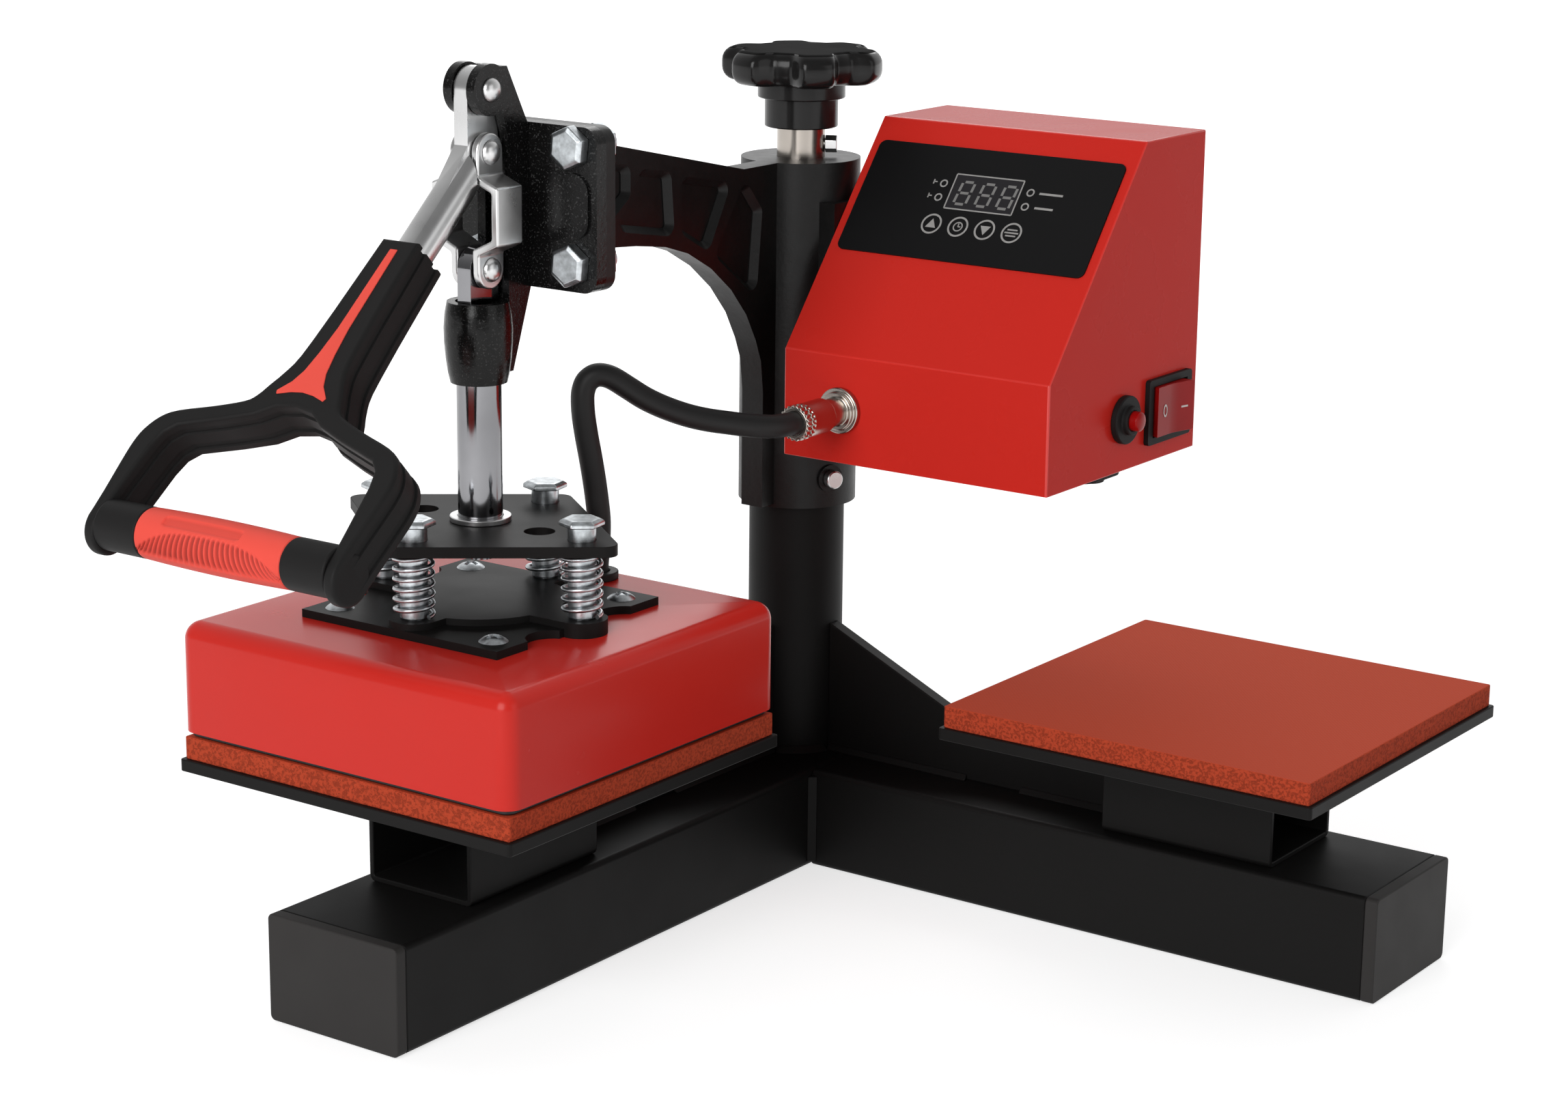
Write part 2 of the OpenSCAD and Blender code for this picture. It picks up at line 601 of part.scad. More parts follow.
module grip_core() {
  color([0.08, 0.08, 0.08]) at_handle() translate([0, bar_u, bar_n]) {
    rod_x(-foot_in, foot_in, 0, 0, 6);
    rod_x(-foot_in, -grip_half, 0, 0, flange_on_grip_r);
    rod_x(grip_half, foot_in, 0, 0, flange_on_grip_r);
  }
}
module grip_sleeve() {
  color([0.92, 0.3, 0.25]) at_handle() translate([0, bar_u, bar_n]) difference() {
    rod_x(-grip_half, grip_half, 0, 0, grip_d / 2);
    rod_x(-40, 40, 0, 0, 6.05);
  }
}

// ---- links ----
strap_out = 6.4;
strap_mid = 15;
module strap_side() {
  z1 = z_b - 8.4; z2 = z_b - 11.8; z3 = z_c + 10.3; z4 = z_c + 6.3;
  polygon([[cheek_in, z_b + 8], [strap_out, z_b + 8], [strap_out, z1 + 0.6], [strap_mid, z2 + 0.6],
    [strap_mid, z3 - 0.6], [strap_out, z4 - 0.6], [strap_out, z_c - 8], [cheek_in, z_c - 8],
    [cheek_in, z4 + 1.2], [strap_mid - 3, z3 + 1.2], [strap_mid - 3, z2 - 1.2], [cheek_in, z1 - 1.2]]);
}
module strap() {
  difference() {
    intersection() {
      translate([0, -station + strap_half, 0]) rotate([90, 0, 0]) linear_extrude(2 * strap_half) strap_side();
      union() {
        translate([0, -station - strap_half, z_c]) cube([20, 2 * strap_half, link_len]);
        rod_x(0, 20, -station, z_b, strap_half);
        rod_x(0, 20, -station, z_c, strap_half);
      }
    }
    rod_x(0, 20, -station, z_b, 3.75);
    rod_x(0, 20, -station, z_c, 3.75);
  }
}
module link_straps() { color([0.8, 0.79, 0.78]) for (s = [0, 1]) mirror([s, 0, 0]) strap(); }
module link_pins() {
  color([0.8, 0.8, 0.8]) {
    translate([0, -station, z_b]) {
      rotate([0, 90, 0]) translate([0, 0, -strap_out]) cylinder(h = 2 * strap_out, r = 3.75);
      pin_heads(strap_out);
    }
    translate([0, -station, z_c]) {
      for (s = [-1, 1]) rotate([0, 90 * s, 0]) translate([0, 0, cheek_in]) cylinder(h = strap_out - cheek_in, r = 3.75);
      pin_heads(strap_out);
    }
  }
}

// ---- plunger ----
// half width and half depth of the tongue on the rod
tongue_x = 3;
tongue_y = sqrt(rod_r * rod_r - tongue_x * tongue_x) - 0.05;
module plunger_rod() {
  color([0.85, 0.85, 0.87]) at_front() difference() {
    union() {
      translate([0, 0, z_spider_top]) cylinder(h = z_boss_top - 3.5 - z_spider_top, r = rod_r);
      translate([0, 0, z_spider - 9.5]) cylinder(h = 15, r = 4.9);
      translate([-tongue_x, -tongue_y, z_boss_top - 3.5]) cube([2 * tongue_x, 2 * tongue_y, z_c - z_boss_top + 3.5]);
      rod_x(-tongue_x, tongue_x, 0, z_c, tongue_y);
    }
  }
}
module rod_collar() {
  color([0.8, 0.8, 0.8]) at_front() translate([0, 0, z_spider_top]) difference() {
    cylinder(h = 2, r = 11);
    translate([0, 0, -1]) cylinder(h = 5, r = rod_r + 0.05);
  }
}
module spider_plate() {
  color([0.13, 0.13, 0.13]) at_front() translate([0, 0, z_spider]) difference() {
    linear_extrude(spider_t) hull() {
      for (s = [-1, 1]) { translate([s * (post_x + 9.5), 0]) circle(5); translate([0, s * (post_y + 7.5)]) circle(5); }
    }
    for (p = post_at) translate([p[0], p[1], -1]) cylinder(h = 9, r = post_r + 0.05);
    translate([0, 0, -1]) cylinder(h = 9, r = 4.95);
    for (s = [-1, 1]) translate([s * 27, 0, -1]) cylinder(h = 9, r = 5.5);
  }
}
module rod_nut() {
  color([0.15, 0.15, 0.15]) at_front() translate([0, 0, z_spider - 6]) difference() {
    hex(16, 6);
    translate([0, 0, -1]) cylinder(h = 9, r = 4.95);
  }
}

// ---- floating platen ----
module heat_plate() {
  color([0.6, 0.6, 0.6]) at_front() difference() {
    union() {
      translate([0, 0, z_heat]) linear_extrude(heat_t) rr(heat_side, heat_side, 4);
      for (x = [-35.5, 35.5], y = [-35.5, 35.5]) translate([x, y, z_heat + heat_t - 1])
        cylinder(h = z_cover_top - cover_wall - z_heat - heat_t + 1, r = 5);
    }
    for (x = [-35.5, 35.5], y = [-35.5, 35.5]) translate([x, y, z_cover_top - 15]) cylinder(h = 20, r = 2.55);
  }
}
module soft_box(side, h, r) {
  hull() for (x = [-1, 1], y = [-1, 1]) translate([x * (side / 2 - r), y * (side / 2 - r), 0]) {
    cylinder(h = 1, r = r, $fn = 32);
    // the sphere's topmost ring of corners lies at this share of its radius
    translate([0, 0, h - r * cos(180 / 32)]) sphere(r, $fn = 32);
  }
}
module platen_cover() {
  color([0.75, 0.1, 0.1]) at_front() difference() {
    translate([0, 0, z_cover]) soft_box(cover_side, cover_h, 6.5);
    translate([0, 0, z_cover - 1]) soft_box(cover_side - 2 * cover_wall, cover_h + 1 - cover_wall, 5);
    for (x = [-35.5, 35.5], y = [-35.5, 35.5]) translate([x, y, z_cover]) cylinder(h = 60, r = 2.6);
    translate([cable_end[0], cable_end[1] + station, z_cover]) cylinder(h = 60, r = 6.2);
  }
}
module pressure_plate() {
  color([0.12, 0.12, 0.12]) at_front() difference() {
    union() {
      translate([0, 0, z_cover_top]) linear_extrude(bow_t) {
        difference() {
          square([90, 90], center = true);
          for (x = [-1, 1], y = [-1, 1]) translate([x * 49, y * 20]) circle(9.5);
        }
        for (s = [-1, 1]) translate([s * post_x, 0]) circle(9);
      }
      translate([0, 0, z_cover_top + 1]) linear_extrude(z_seat - z_cover_top - 1) {
        circle(31);
        square([2 * post_x, 18], center = true);
        square([18, 2 * post_y], center = true);
        for (p = post_at) translate(p) circle(9);
      }
    }
    for (x = [-35.5, 35.5], y = [-35.5, 35.5]) translate([x, y, z_cover_top - 1]) cylinder(h = 9, r = 2.6);
    for (p = post_at) translate([p[0], p[1], z_cover_top + 0.8]) cylinder(h = 9, r = 4.05);
  }
}
module plate_screws() {
  color([0.8, 0.8, 0.78]) at_front() for (x = [-35.5, 35.5], y = [-35.5, 35.5]) translate([x, y, z_bow]) {
    translate([0, 0, -16]) cylinder(h = 16, r = 2.5);
    dome(5.2, 2.2);
  }
}
module shoulder_bolts() {
  color([0.8, 0.8, 0.78]) at_front() for (p = post_at) translate([p[0], p[1], 0]) {
    translate([0, 0, z_cover_top + 1]) cylinder(h = z_seat - z_cover_top, r = 4);
    translate([0, 0, z_seat]) cylinder(h = z_post_head - z_seat, r = post_r);
    translate([0, 0, z_post_head]) rotate(10) hex(14, 4.4);
  }
}
// coil springs: one unbroken round wire each
spring_turns = 6;
coil_r = (spring_d - spring_wire) / 2;
coil_pitch = (spring_len - spring_wire - 0.4) / spring_turns;
coil_pts = [for (i = [0 : 8 * spring_turns]) [coil_r * cos(45 * i), coil_r * sin(45 * i),
  spring_wire / 2 + 0.2 + coil_pitch * i / 8]];
coil_gap = min([for (i = [0 : len(coil_pts) - 9]) norm(coil_pts[i + 8] - coil_pts[i])]) - spring_wire;
echo(least_gap_between_curls = coil_gap);
module platen_springs() {
  color([0.8, 0.8, 0.8]) at_front() for (p = post_at) translate([p[0], p[1], z_seat])
    coil(coil_pts, spring_wire / 2);
}
module coil(pts, r) {
  n = 6; m = len(pts);
  rings = [for (i = [0 : m - 1]) let (o = unit([pts[i][0], pts[i][1], 0]), t = [-o[1], o[0], coil_pitch / (2 * PI * coil_r)],
      b = unit(cross(o, unit(t))))
    for (k = [0 : n - 1]) pts[i] + r * (cos(60 * k) * o + sin(60 * k) * b)];
  polyhedron(points = rings, faces = tube_faces(m, n));
}
module cable_grommet() {
  color([0.07, 0.07, 0.07]) translate([cable_end[0], cable_end[1], z_cover_top]) difference() {
    union() { cylinder(h = 3, r = 8); translate([0, 0, -3]) cylinder(h = 3.5, r = 6.1); }
    translate([0, 0, -5]) cylinder(h = 20, r = cab_r + 0.4);
  }
}
module platen_cable() {
  color([0.06, 0.06, 0.06]) tube_on(cable_pts, cab_r, 12);
}

front_leg();
side_leg();
end_caps();
column();
column_bush();
gussets();
weld_beads();
support_channels();
station_plates();
silicone_pads();
lift_sleeve();
sleeve_screw();
star_knob();
knob_spindle();
arm_casting();
hub_lock_screw();
toggle_casting();
flange_bolts();
fixed_pin();
box_shell();
box_back();
key_panel();
display_window();
display_digits();
panel_keys();
panel_lamps();
switch_frame();
breaker_collar();
cord_gland();
panel_socket();
cable_plug();
power_rocker();
reset_button();
toggle_lever();
handle_frame();
handle_inlay();
grip_core();
grip_sleeve();
link_straps();
link_pins();
plunger_rod();
rod_collar();
spider_plate();
rod_nut();
heat_plate();
platen_cover();
pressure_plate();
plate_screws();
shoulder_bolts();
platen_springs();
cable_grommet();
platen_cable();
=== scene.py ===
"""Looks of a two station heat press with a swing-away toggle arm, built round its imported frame."""

import json
import math

import bmesh
import bpy
from mathutils import Matrix, Vector


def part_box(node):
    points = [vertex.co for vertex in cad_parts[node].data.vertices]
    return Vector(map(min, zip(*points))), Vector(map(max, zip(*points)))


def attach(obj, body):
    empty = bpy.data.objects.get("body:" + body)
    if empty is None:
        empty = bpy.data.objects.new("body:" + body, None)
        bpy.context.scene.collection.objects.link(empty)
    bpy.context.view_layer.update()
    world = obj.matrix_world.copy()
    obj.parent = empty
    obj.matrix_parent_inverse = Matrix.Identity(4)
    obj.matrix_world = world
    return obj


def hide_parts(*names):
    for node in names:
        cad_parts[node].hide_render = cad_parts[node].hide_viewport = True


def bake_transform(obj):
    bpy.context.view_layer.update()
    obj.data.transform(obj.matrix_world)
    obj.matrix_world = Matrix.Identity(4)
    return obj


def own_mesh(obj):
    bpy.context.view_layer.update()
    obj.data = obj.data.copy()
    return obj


bl_info = {
    "name": "Heat press looks",
    "version": (1, 0, 0),
    "blender": (4, 5, 0),
    "location": "View3D > Sidebar > Heat press",
    "description": "Builds the painted, plated and moulded pieces of a small heat press",
    "category": "Object",
}

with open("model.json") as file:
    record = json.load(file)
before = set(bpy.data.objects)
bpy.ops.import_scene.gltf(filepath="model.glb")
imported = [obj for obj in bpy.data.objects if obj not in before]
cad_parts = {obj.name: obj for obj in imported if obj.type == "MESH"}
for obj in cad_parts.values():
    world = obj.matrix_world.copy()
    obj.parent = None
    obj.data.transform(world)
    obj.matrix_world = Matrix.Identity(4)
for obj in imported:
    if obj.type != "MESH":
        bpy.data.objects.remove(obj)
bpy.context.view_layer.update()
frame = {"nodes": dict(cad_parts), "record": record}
nodes = frame["nodes"]

# The cable's middle line from the plug to the platen cover, in millimetres.
CABLE_ROUTE = [
    (52.5, -72, 192.5), (52.5, -77, 192.5), (52, -81, 192.5), (50.5, -86, 192.5),
    (47.5, -91, 193), (43.5, -95.5, 193.7), (39, -100, 194.7), (33.5, -105.5, 196),
    (28, -111, 198), (22, -116.5, 201), (17, -121.5, 204.5), (12.5, -125.5, 208.4),
    (9, -129, 211.7), (7, -131, 213.1), (5, -133, 213.7), (3.2, -134.8, 213.2),
    (1.6, -136.4, 211.4), (0.8, -137.2, 209), (0.4, -137.6, 205.6), (0.6, -137.4, 199),
    (1.4, -136.6, 191), (2.4, -135.6, 183), (3.4, -134.6, 174), (4.2, -133.8, 165),
    (4.6, -133.4, 158), (4.4, -133.6, 149), (4, -134, 142), (4, -134, 137), (4, -134, 131),
]
BODY_OF = {n: b for b, ns in frame["record"]["behaviour"]["bodies"].items() for n in ns}
SLOT_OF = {s["node"]: s["material_slot"] for s in frame["record"]["subparts"]}
STATION = 0.195
THIN_RIM = 0.0009

# How far each piece's edges are rounded, in millimetres.
ROUNDING = {
    "weld_beads": 0.6, "silicone_pads": 0.4, "lift_sleeve": 0.4, "sleeve_screw": 0.3, "hub_lock_screw": 0.5,
    "fixed_pin": 0.2, "box_back": 0.3, "switch_frame": 0.4, "power_rocker": 0.6, "breaker_collar": 0.5,
    "reset_button": 0.3, "cord_gland": 0.4, "panel_socket": 0.4, "cable_plug": 0.5, "toggle_lever": 0.8,
    "link_straps": 0.7, "link_pins": 0.2, "plunger_rod": 0.4, "rod_collar": 0.3, "rod_nut": 0.4,
    "handle_inlay": 0.2, "spider_plate": 0.4, "heat_plate": 0.4, "pressure_plate": 0.5,
    "cable_grommet": 0.4,
}
POSTS = [(0.046, 0), (0, 0.036), (-0.046, 0), (0, -0.036)]


def mm(value):
    return value / 1000


# ---- settings that a user would change ----
class PressSizes(bpy.types.PropertyGroup):
    """Sizes of the finer pieces"""

    edge: bpy.props.FloatProperty(
        name="Edge", description="Rounding of machined edges", default=0.0005, unit="LENGTH")
    fold: bpy.props.FloatProperty(
        name="Fold", description="Rounding of the folds in the control box", default=0.0014, unit="LENGTH")
    cast_edge: bpy.props.FloatProperty(
        name="Cast edge", description="Rounding of the castings", default=0.0011, unit="LENGTH")
    cable_width: bpy.props.FloatProperty(
        name="Cable", description="Diameter of the platen cable", default=0.0088, unit="LENGTH")
    wire: bpy.props.FloatProperty(
        name="Spring wire", description="Diameter of the spring wire", default=0.0017, unit="LENGTH")
    turns: bpy.props.IntProperty(
        name="Spring turns", description="Turns of each platen spring", default=6, min=3, max=12)
    weave: bpy.props.FloatProperty(
        name="Weave", description="Pitch of the cloth print on the pads", default=0.0016, unit="LENGTH")
    handle_rim: bpy.props.FloatProperty(
        name="Handle rim", description="Rounding of the handle's rims", default=0.0013, unit="LENGTH")
    knob_rim: bpy.props.FloatProperty(
        name="Knob rim", description="Rounding of the star knob's lobes", default=0.0054, unit="LENGTH")
    grip: bpy.props.FloatProperty(
        name="Grip", description="Radius of the grip at its ends", default=0.0087, unit="LENGTH")
    rib_pitch: bpy.props.FloatProperty(
        name="Rib pitch", description="Distance between the ribs of the grip", default=0.0025, unit="LENGTH")


class PressColours(bpy.types.PropertyGroup):
    """Colours of the finishes"""

    red_paint: bpy.props.FloatVectorProperty(
        name="Red paint", description="Powder coat of the box and the platen cover",
        default=(0.63, 0.026, 0.018), size=3, subtype="COLOR", min=0, max=1)
    black_paint: bpy.props.FloatVectorProperty(
        name="Black paint", description="Powder coat of the tubes and plates",
        default=(0.0085, 0.008, 0.0078), size=3, subtype="COLOR", min=0, max=1)
    end_cap: bpy.props.FloatVectorProperty(
        name="End caps", description="Plastic caps in the open ends of the legs",
        default=(0.032, 0.03, 0.029), size=3, subtype="COLOR", min=0, max=1)
    silicone: bpy.props.FloatVectorProperty(
        name="Silicone", description="Sponge pads",
        default=(0.5, 0.062, 0.024), size=3, subtype="COLOR", min=0, max=1)
    grip: bpy.props.FloatVectorProperty(
        name="Grip", description="Red rubber of the handle",
        default=(0.83, 0.085, 0.06), size=3, subtype="COLOR", min=0, max=1)
    zinc: bpy.props.FloatVectorProperty(
        name="Zinc", description="Plated fasteners and links",
        default=(0.66, 0.66, 0.66), size=3, subtype="COLOR", min=0, max=1)
    plastic: bpy.props.FloatVectorProperty(
        name="Black plastic", description="Handle, knob and switch frames",
        default=(0.012, 0.0115, 0.0115), size=3, subtype="COLOR", min=0, max=1)


def sizes():
    return bpy.context.scene.press_sizes


def colours():
    return bpy.context.scene.press_colours


# ---- materials ----
def new_material(name, colour, rough, metal=0.0, specular=0.5):
    mat = bpy.data.materials.new(name)
    mat.use_nodes = True
    shader = mat.node_tree.nodes["Principled BSDF"]
    shader.inputs["Base Color"].default_value = (*colour, 1)
    shader.inputs["Roughness"].default_value = rough
    shader.inputs["Metallic"].default_value = metal
    shader.inputs["Specular IOR Level"].default_value = specular
    mat.diffuse_color = (*colour, 1)
    return mat, mat.node_tree, shader


def object_coords(tree, scale=(1, 1, 1)):
    coord = tree.nodes.new("ShaderNodeTexCoord")
    mapping = tree.nodes.new("ShaderNodeMapping")
    mapping.inputs["Scale"].default_value = scale
    tree.links.new(coord.outputs["Object"], mapping.inputs["Vector"])
    return mapping.outputs["Vector"]


def noise(tree, scale, detail=3.0, vector=None, rough=0.5):
    tex = tree.nodes.new("ShaderNodeTexNoise")
    tex.inputs["Scale"].default_value = scale
    tex.inputs["Detail"].default_value = detail
    tex.inputs["Roughness"].default_value = rough
    tree.links.new(vector or object_coords(tree), tex.inputs["Vector"])
    return tex.outputs["Fac"]


def ramp(tree, fac, low, high, low_at=0.0, high_at=1.0):
    node = tree.nodes.new("ShaderNodeMapRange")
    node.inputs["From Min"].default_value = low_at
    node.inputs["From Max"].default_value = high_at
    node.inputs["To Min"].default_value = low
    node.inputs["To Max"].default_value = high
    tree.links.new(fac, node.inputs["Value"])
    return node.outputs["Result"]


def tint(tree, shader, fac, dark, light):
    """Lets the base colour wander between a dark and a light one."""
    node = tree.nodes.new("ShaderNodeMix")
    node.data_type = "RGBA"
    node.inputs["A"].default_value = (*dark, 1)
    node.inputs["B"].default_value = (*light, 1)
    tree.links.new(fac, node.inputs["Factor"])
    tree.links.new(node.outputs["Result"], shader.inputs["Base Color"])


def uneven(tree, shader, rough, scale, detail, less, more):
    """Lets the roughness wander round its value."""
    tree.links.new(ramp(tree, noise(tree, scale, detail), rough - less, rough + more),
                   shader.inputs["Roughness"])


def maths(tree, kind, a, b=None):
    node = tree.nodes.new("ShaderNodeMath")
    node.operation = kind
    for socket, value in zip(node.inputs, (a, b)):
        if value is None:
            continue
        if isinstance(value, (int, float)):
            socket.default_value = value
        else:
            tree.links.new(value, socket)
    return node.outputs[0]


def bump(tree, shader, height, strength, distance):
    node = tree.nodes.new("ShaderNodeBump")
    node.inputs["Strength"].default_value = strength
    node.inputs["Distance"].default_value = distance
    tree.links.new(height, node.inputs["Height"])
    tree.links.new(node.outputs["Normal"], shader.inputs["Normal"])


def scaled(colour, factor):
    return tuple(min(1, c * factor) for c in colour)


def powder_coat(name, colour, rough, peel=0.12, spread=0.06, specular=0.2):
    """Baked powder: an even colour with a slight orange peel."""
    mat, tree, shader = new_material(name, colour, rough, specular=specular)
    tint(tree, shader, noise(tree, 14, 4), scaled(colour, 1 - spread), scaled(colour, 1 + spread))
    uneven(tree, shader, rough, 40, 4, 0.05, 0.07)
    bump(tree, shader, noise(tree, 1100, 2), peel, mm(0.04))
    return mat


def cast_paint(name, colour, rough, specular, relief, glint_level=0.0):
    """Paint over a sand casting with a grainy skin; light flecks painted into its colour stand for glints of
    the lamp on its grain.
    """
    mat, tree, shader = new_material(name, colour, rough, specular=specular)
    skin = noise(tree, 520, 5, rough=0.62)
    uneven(tree, shader, rough, 160, 4, 0.06, 0.1)
    # painted highlight: sparse light flecks stand for glints off the casting's grain
    bright = ramp(tree, noise(tree, 1300, 1), 0, glint_level, 0.6, 0.72)
    grain_and_glints = maths(tree, "ADD", ramp(tree, skin, 0, 0.015), bright)
    tint(tree, shader, grain_and_glints, scaled(colour, 0.7), (0.3, 0.3, 0.3))
    bump(tree, shader, skin, relief, mm(0.3))
    return mat


def plated(name, colour, rough, stretch=(1, 1, 1), mottle=0.08, relief=0.03, blotch=0.1, blotches=45):
    """Bright plating with faint streaks and handling marks."""
    mat, tree, shader = new_material(name, colour, rough, metal=1.0)
    streak = noise(tree, 700, 3, object_coords(tree, stretch))
    uneven(tree, shader, rough, 90, 4, 0.04, mottle)
    spots = ramp(tree, noise(tree, blotches, 4), 0, 1, 0.3, 0.7)
    tint(tree, shader, spots, scaled(colour, 1 - blotch), scaled(colour, 1 + blotch))
    bump(tree, shader, streak, relief, mm(0.03))
    return mat


def moulded(name, colour, rough, grain=1400, strength=0.12, specular=0.3):
    """Moulded plastic or rubber with a fine spark-eroded grain."""
    mat, tree, shader = new_material(name, colour, rough, specular=specular)
    uneven(tree, shader, rough, 60, 3, 0.06, 0.08)
    tint(tree, shader, noise(tree, 25, 3), scaled(colour, 0.9), scaled(colour, 1.1))
    bump(tree, shader, noise(tree, grain, 2), strength, mm(0.05))
    return mat


def grooved_rubber(name, colour, rough):
    """Rubber with shade painted into its moulded grooves and thumb recess: the colour darkens with their
    stored depth.
    """
    mat, tree, shader = new_material(name, colour, rough, specular=0.2)
    painted_groove_shade = tree.nodes.new("ShaderNodeAttribute")
    painted_groove_shade.attribute_name = "painted_groove_shade"
    mottle = ramp(tree, noise(tree, 25, 3), -0.12, 0.12)
    # painted shade: the colour darkens with the stored depth of the grooves and the recess
    shade = maths(tree, "ADD", mottle, ramp(tree, painted_groove_shade.outputs["Fac"], 0.12, 1, 0.1, 1))
    tint(tree, shader, shade, scaled(colour, 1.1), scaled(colour, 0.42))
    uneven(tree, shader, rough, 60, 3, 0.06, 0.08)
    bump(tree, shader, noise(tree, 1100, 2), 0.12, mm(0.05))
    return mat


def sponge(name, colour, pitch):
    """Silicone sponge: a cloth weave pressed into the faces and open pores on the cut edges, with painted
    light and shade, lighter on the weave's crests and darker in its hollows and in the pores.
    """
    mat, tree, shader = new_material(name, colour, 0.8, specular=0.15)
    plain = object_coords(tree)
    split = tree.nodes.new("ShaderNodeSeparateXYZ")
    tree.links.new(plain, split.inputs[0])
    wave = 2 * math.pi / pitch
    rows = [maths(tree, "SINE", maths(tree, "MULTIPLY", split.outputs[i], wave)) for i in (0, 1)]
    weave = maths(tree, "MULTIPLY", rows[0], rows[1])
    normal = tree.nodes.new("ShaderNodeNewGeometry")
    facing = tree.nodes.new("ShaderNodeSeparateXYZ")
    tree.links.new(normal.outputs["True Normal"], facing.inputs[0])
    top = maths(tree, "GREATER_THAN", maths(tree, "ABSOLUTE", facing.outputs[2]), 0.7)
    edge = maths(tree, "SUBTRACT", 1.0, top)
    pit = ramp(tree, noise(tree, 950, 3, rough=0.7), 0.0, 1.0, 0.38, 0.52)
    height = maths(tree, "ADD", maths(tree, "MULTIPLY", maths(tree, "MULTIPLY", weave, 0.12), top),
                   maths(tree, "MULTIPLY", pit, edge))
    # painted light and shade: the colour follows the relief, lighter on the weave's crests, darker in its
    # hollows and in the pores of the cut edges
    shade = maths(tree, "SUBTRACT", maths(tree, "MULTIPLY", ramp(tree, weave, 0.54, 0.7, -1, 1), top),
                  maths(tree, "MULTIPLY", ramp(tree, pit, 0.35, -0.5), edge))
    tint(tree, shader, shade, scaled(colour, 0.66), scaled(colour, 1.3))
    bump(tree, shader, height, 0.6, mm(0.35))
    return mat


def film(name, colour, rough):
    """Printed plastic film with a faint waviness."""
    mat, tree, shader = new_material(name, colour, rough, specular=0.16)
    bump(tree, shader, noise(tree, 300, 3), 0.03, mm(0.03))
    uneven(tree, shader, rough, 30, 3, 0, 0.1)
    return mat


def print_ink(name, colour):
    mat, tree, shader = new_material(name, colour, 0.6)
    tint(tree, shader, noise(tree, 400, 2), scaled(colour, 0.85), scaled(colour, 1.1))
    return mat


def lit_switch(name, colour):
    """Clear red switch cap with light in its depth."""
    mat, tree, shader = new_material(name, colour, 0.3, specular=0.2)
    shader.inputs["Subsurface Weight"].default_value = 0.1
    shader.inputs["Subsurface Radius"].default_value = (0.004, 0.0006, 0.0004)
    tint(tree, shader, noise(tree, 60, 2), scaled(colour, 0.75), scaled(colour, 1.2))
    return mat


FINISHES = {}


def finish_for(slot_name):
    """The finish of one of the record's material slots, made once."""
    if slot_name in FINISHES:
        return FINISHES[slot_name]
    c = colours()
    red, black, zinc, plastic = c.red_paint, c.black_paint, c.zinc, c.plastic
    makers = {
        "black_tube": lambda: powder_coat("black powder coat", scaled(black, 0.8), 0.5, 0.2, 0.12, 0.12),
        "black_plate": lambda: powder_coat("black plate paint", scaled(black, 1.1), 0.45, 0.1, 0.1, 0.1),
        "end_cap": lambda: moulded("cap plastic", c.end_cap, 0.6, 900, 0.15, 0.2),
        "black_cast": lambda: cast_paint("satin cast paint", scaled(black, 0.6), 0.36, 0.26, 0.25),
        # gloss cast paint with painted glints: the last value sets its light flecks
        "gloss_cast": lambda: cast_paint("gloss cast paint", scaled(black, 0.35), 0.16, 0.22, 0.35, 0.13),
        "red_paint": lambda: powder_coat("red powder coat", red, 0.27, 0.05, 0.03, 0.06),
        "red_cover": lambda: powder_coat("red coat of the cover", red, 0.24, 0.05, 0.03, 0.2),
        # painted highlight: the folds' rounding takes a red 15 % lighter, with a glossier coat
        "red_fold_highlight": lambda: powder_coat("red coat painted lighter on the folds", scaled(red, 1.15), 0.22, 0.06, 0.08, 0.6),
        "zinc": lambda: plated("zinc plate", zinc, 0.27),
        "chrome": lambda: plated("chrome plate", (0.24, 0.24, 0.25), 0.1, (1, 1, 0.05), 0.04),
        "nickel": lambda: plated("nickel plate", (0.44, 0.4, 0.36), 0.2, mottle=0.06),
        "bolt_zinc": lambda: plated("bolt plate", (0.53, 0.56, 0.58), 0.24, mottle=0.2, relief=0.2,
                                    blotch=0.28, blotches=420),
        "silicone": lambda: sponge("silicone sponge", c.silicone, sizes().weave),
        "black_plastic": lambda: moulded("black plastic", plastic, 0.56, specular=0.14),
        "glossy_plastic": lambda: moulded("polished plastic", plastic, 0.17, specular=0.24),
        # the rougher grain is real; the colour at 0.6 of the plastic is painted shade for the knob's top
        "matte_plastic": lambda: moulded("matte plastic painted darker for the knob top", scaled(plastic, 0.6), 0.75, 600, 0.3, 0.03),
        "black_rubber": lambda: moulded("black rubber", scaled(plastic, 0.8), 0.5, 700, 0.12),
        "red_grip": lambda: grooved_rubber("red grip rubber with painted groove shade", c.grip, 0.55),
        "panel_film": lambda: film("panel film", (0.0042, 0.004, 0.0044), 0.45),
        "window": lambda: film("display window", (0.02, 0.0185, 0.021), 0.35),
        "legend": lambda: print_ink("grey print", (0.33, 0.32, 0.31)),
        "faint": lambda: print_ink("unlit segments", (0.2, 0.195, 0.19)),
        "white": lambda: print_ink("white print", (0.7, 0.66, 0.64)),
        "red_switch": lambda: lit_switch("red switch cap", (0.34, 0.004, 0.004)),
        # painted shade: the heat plate is near black so that its edge reads as the shaded gap under the
        # cover
        "aluminium": lambda: plated("aluminium painted dark for gap shade", (0.04, 0.04, 0.04), 0.5),
        "steel": lambda: plated("turned steel", (0.4, 0.4, 0.41), 0.3),
    }
    FINISHES[slot_name] = makers[slot_name]()
    return FINISHES[slot_name]


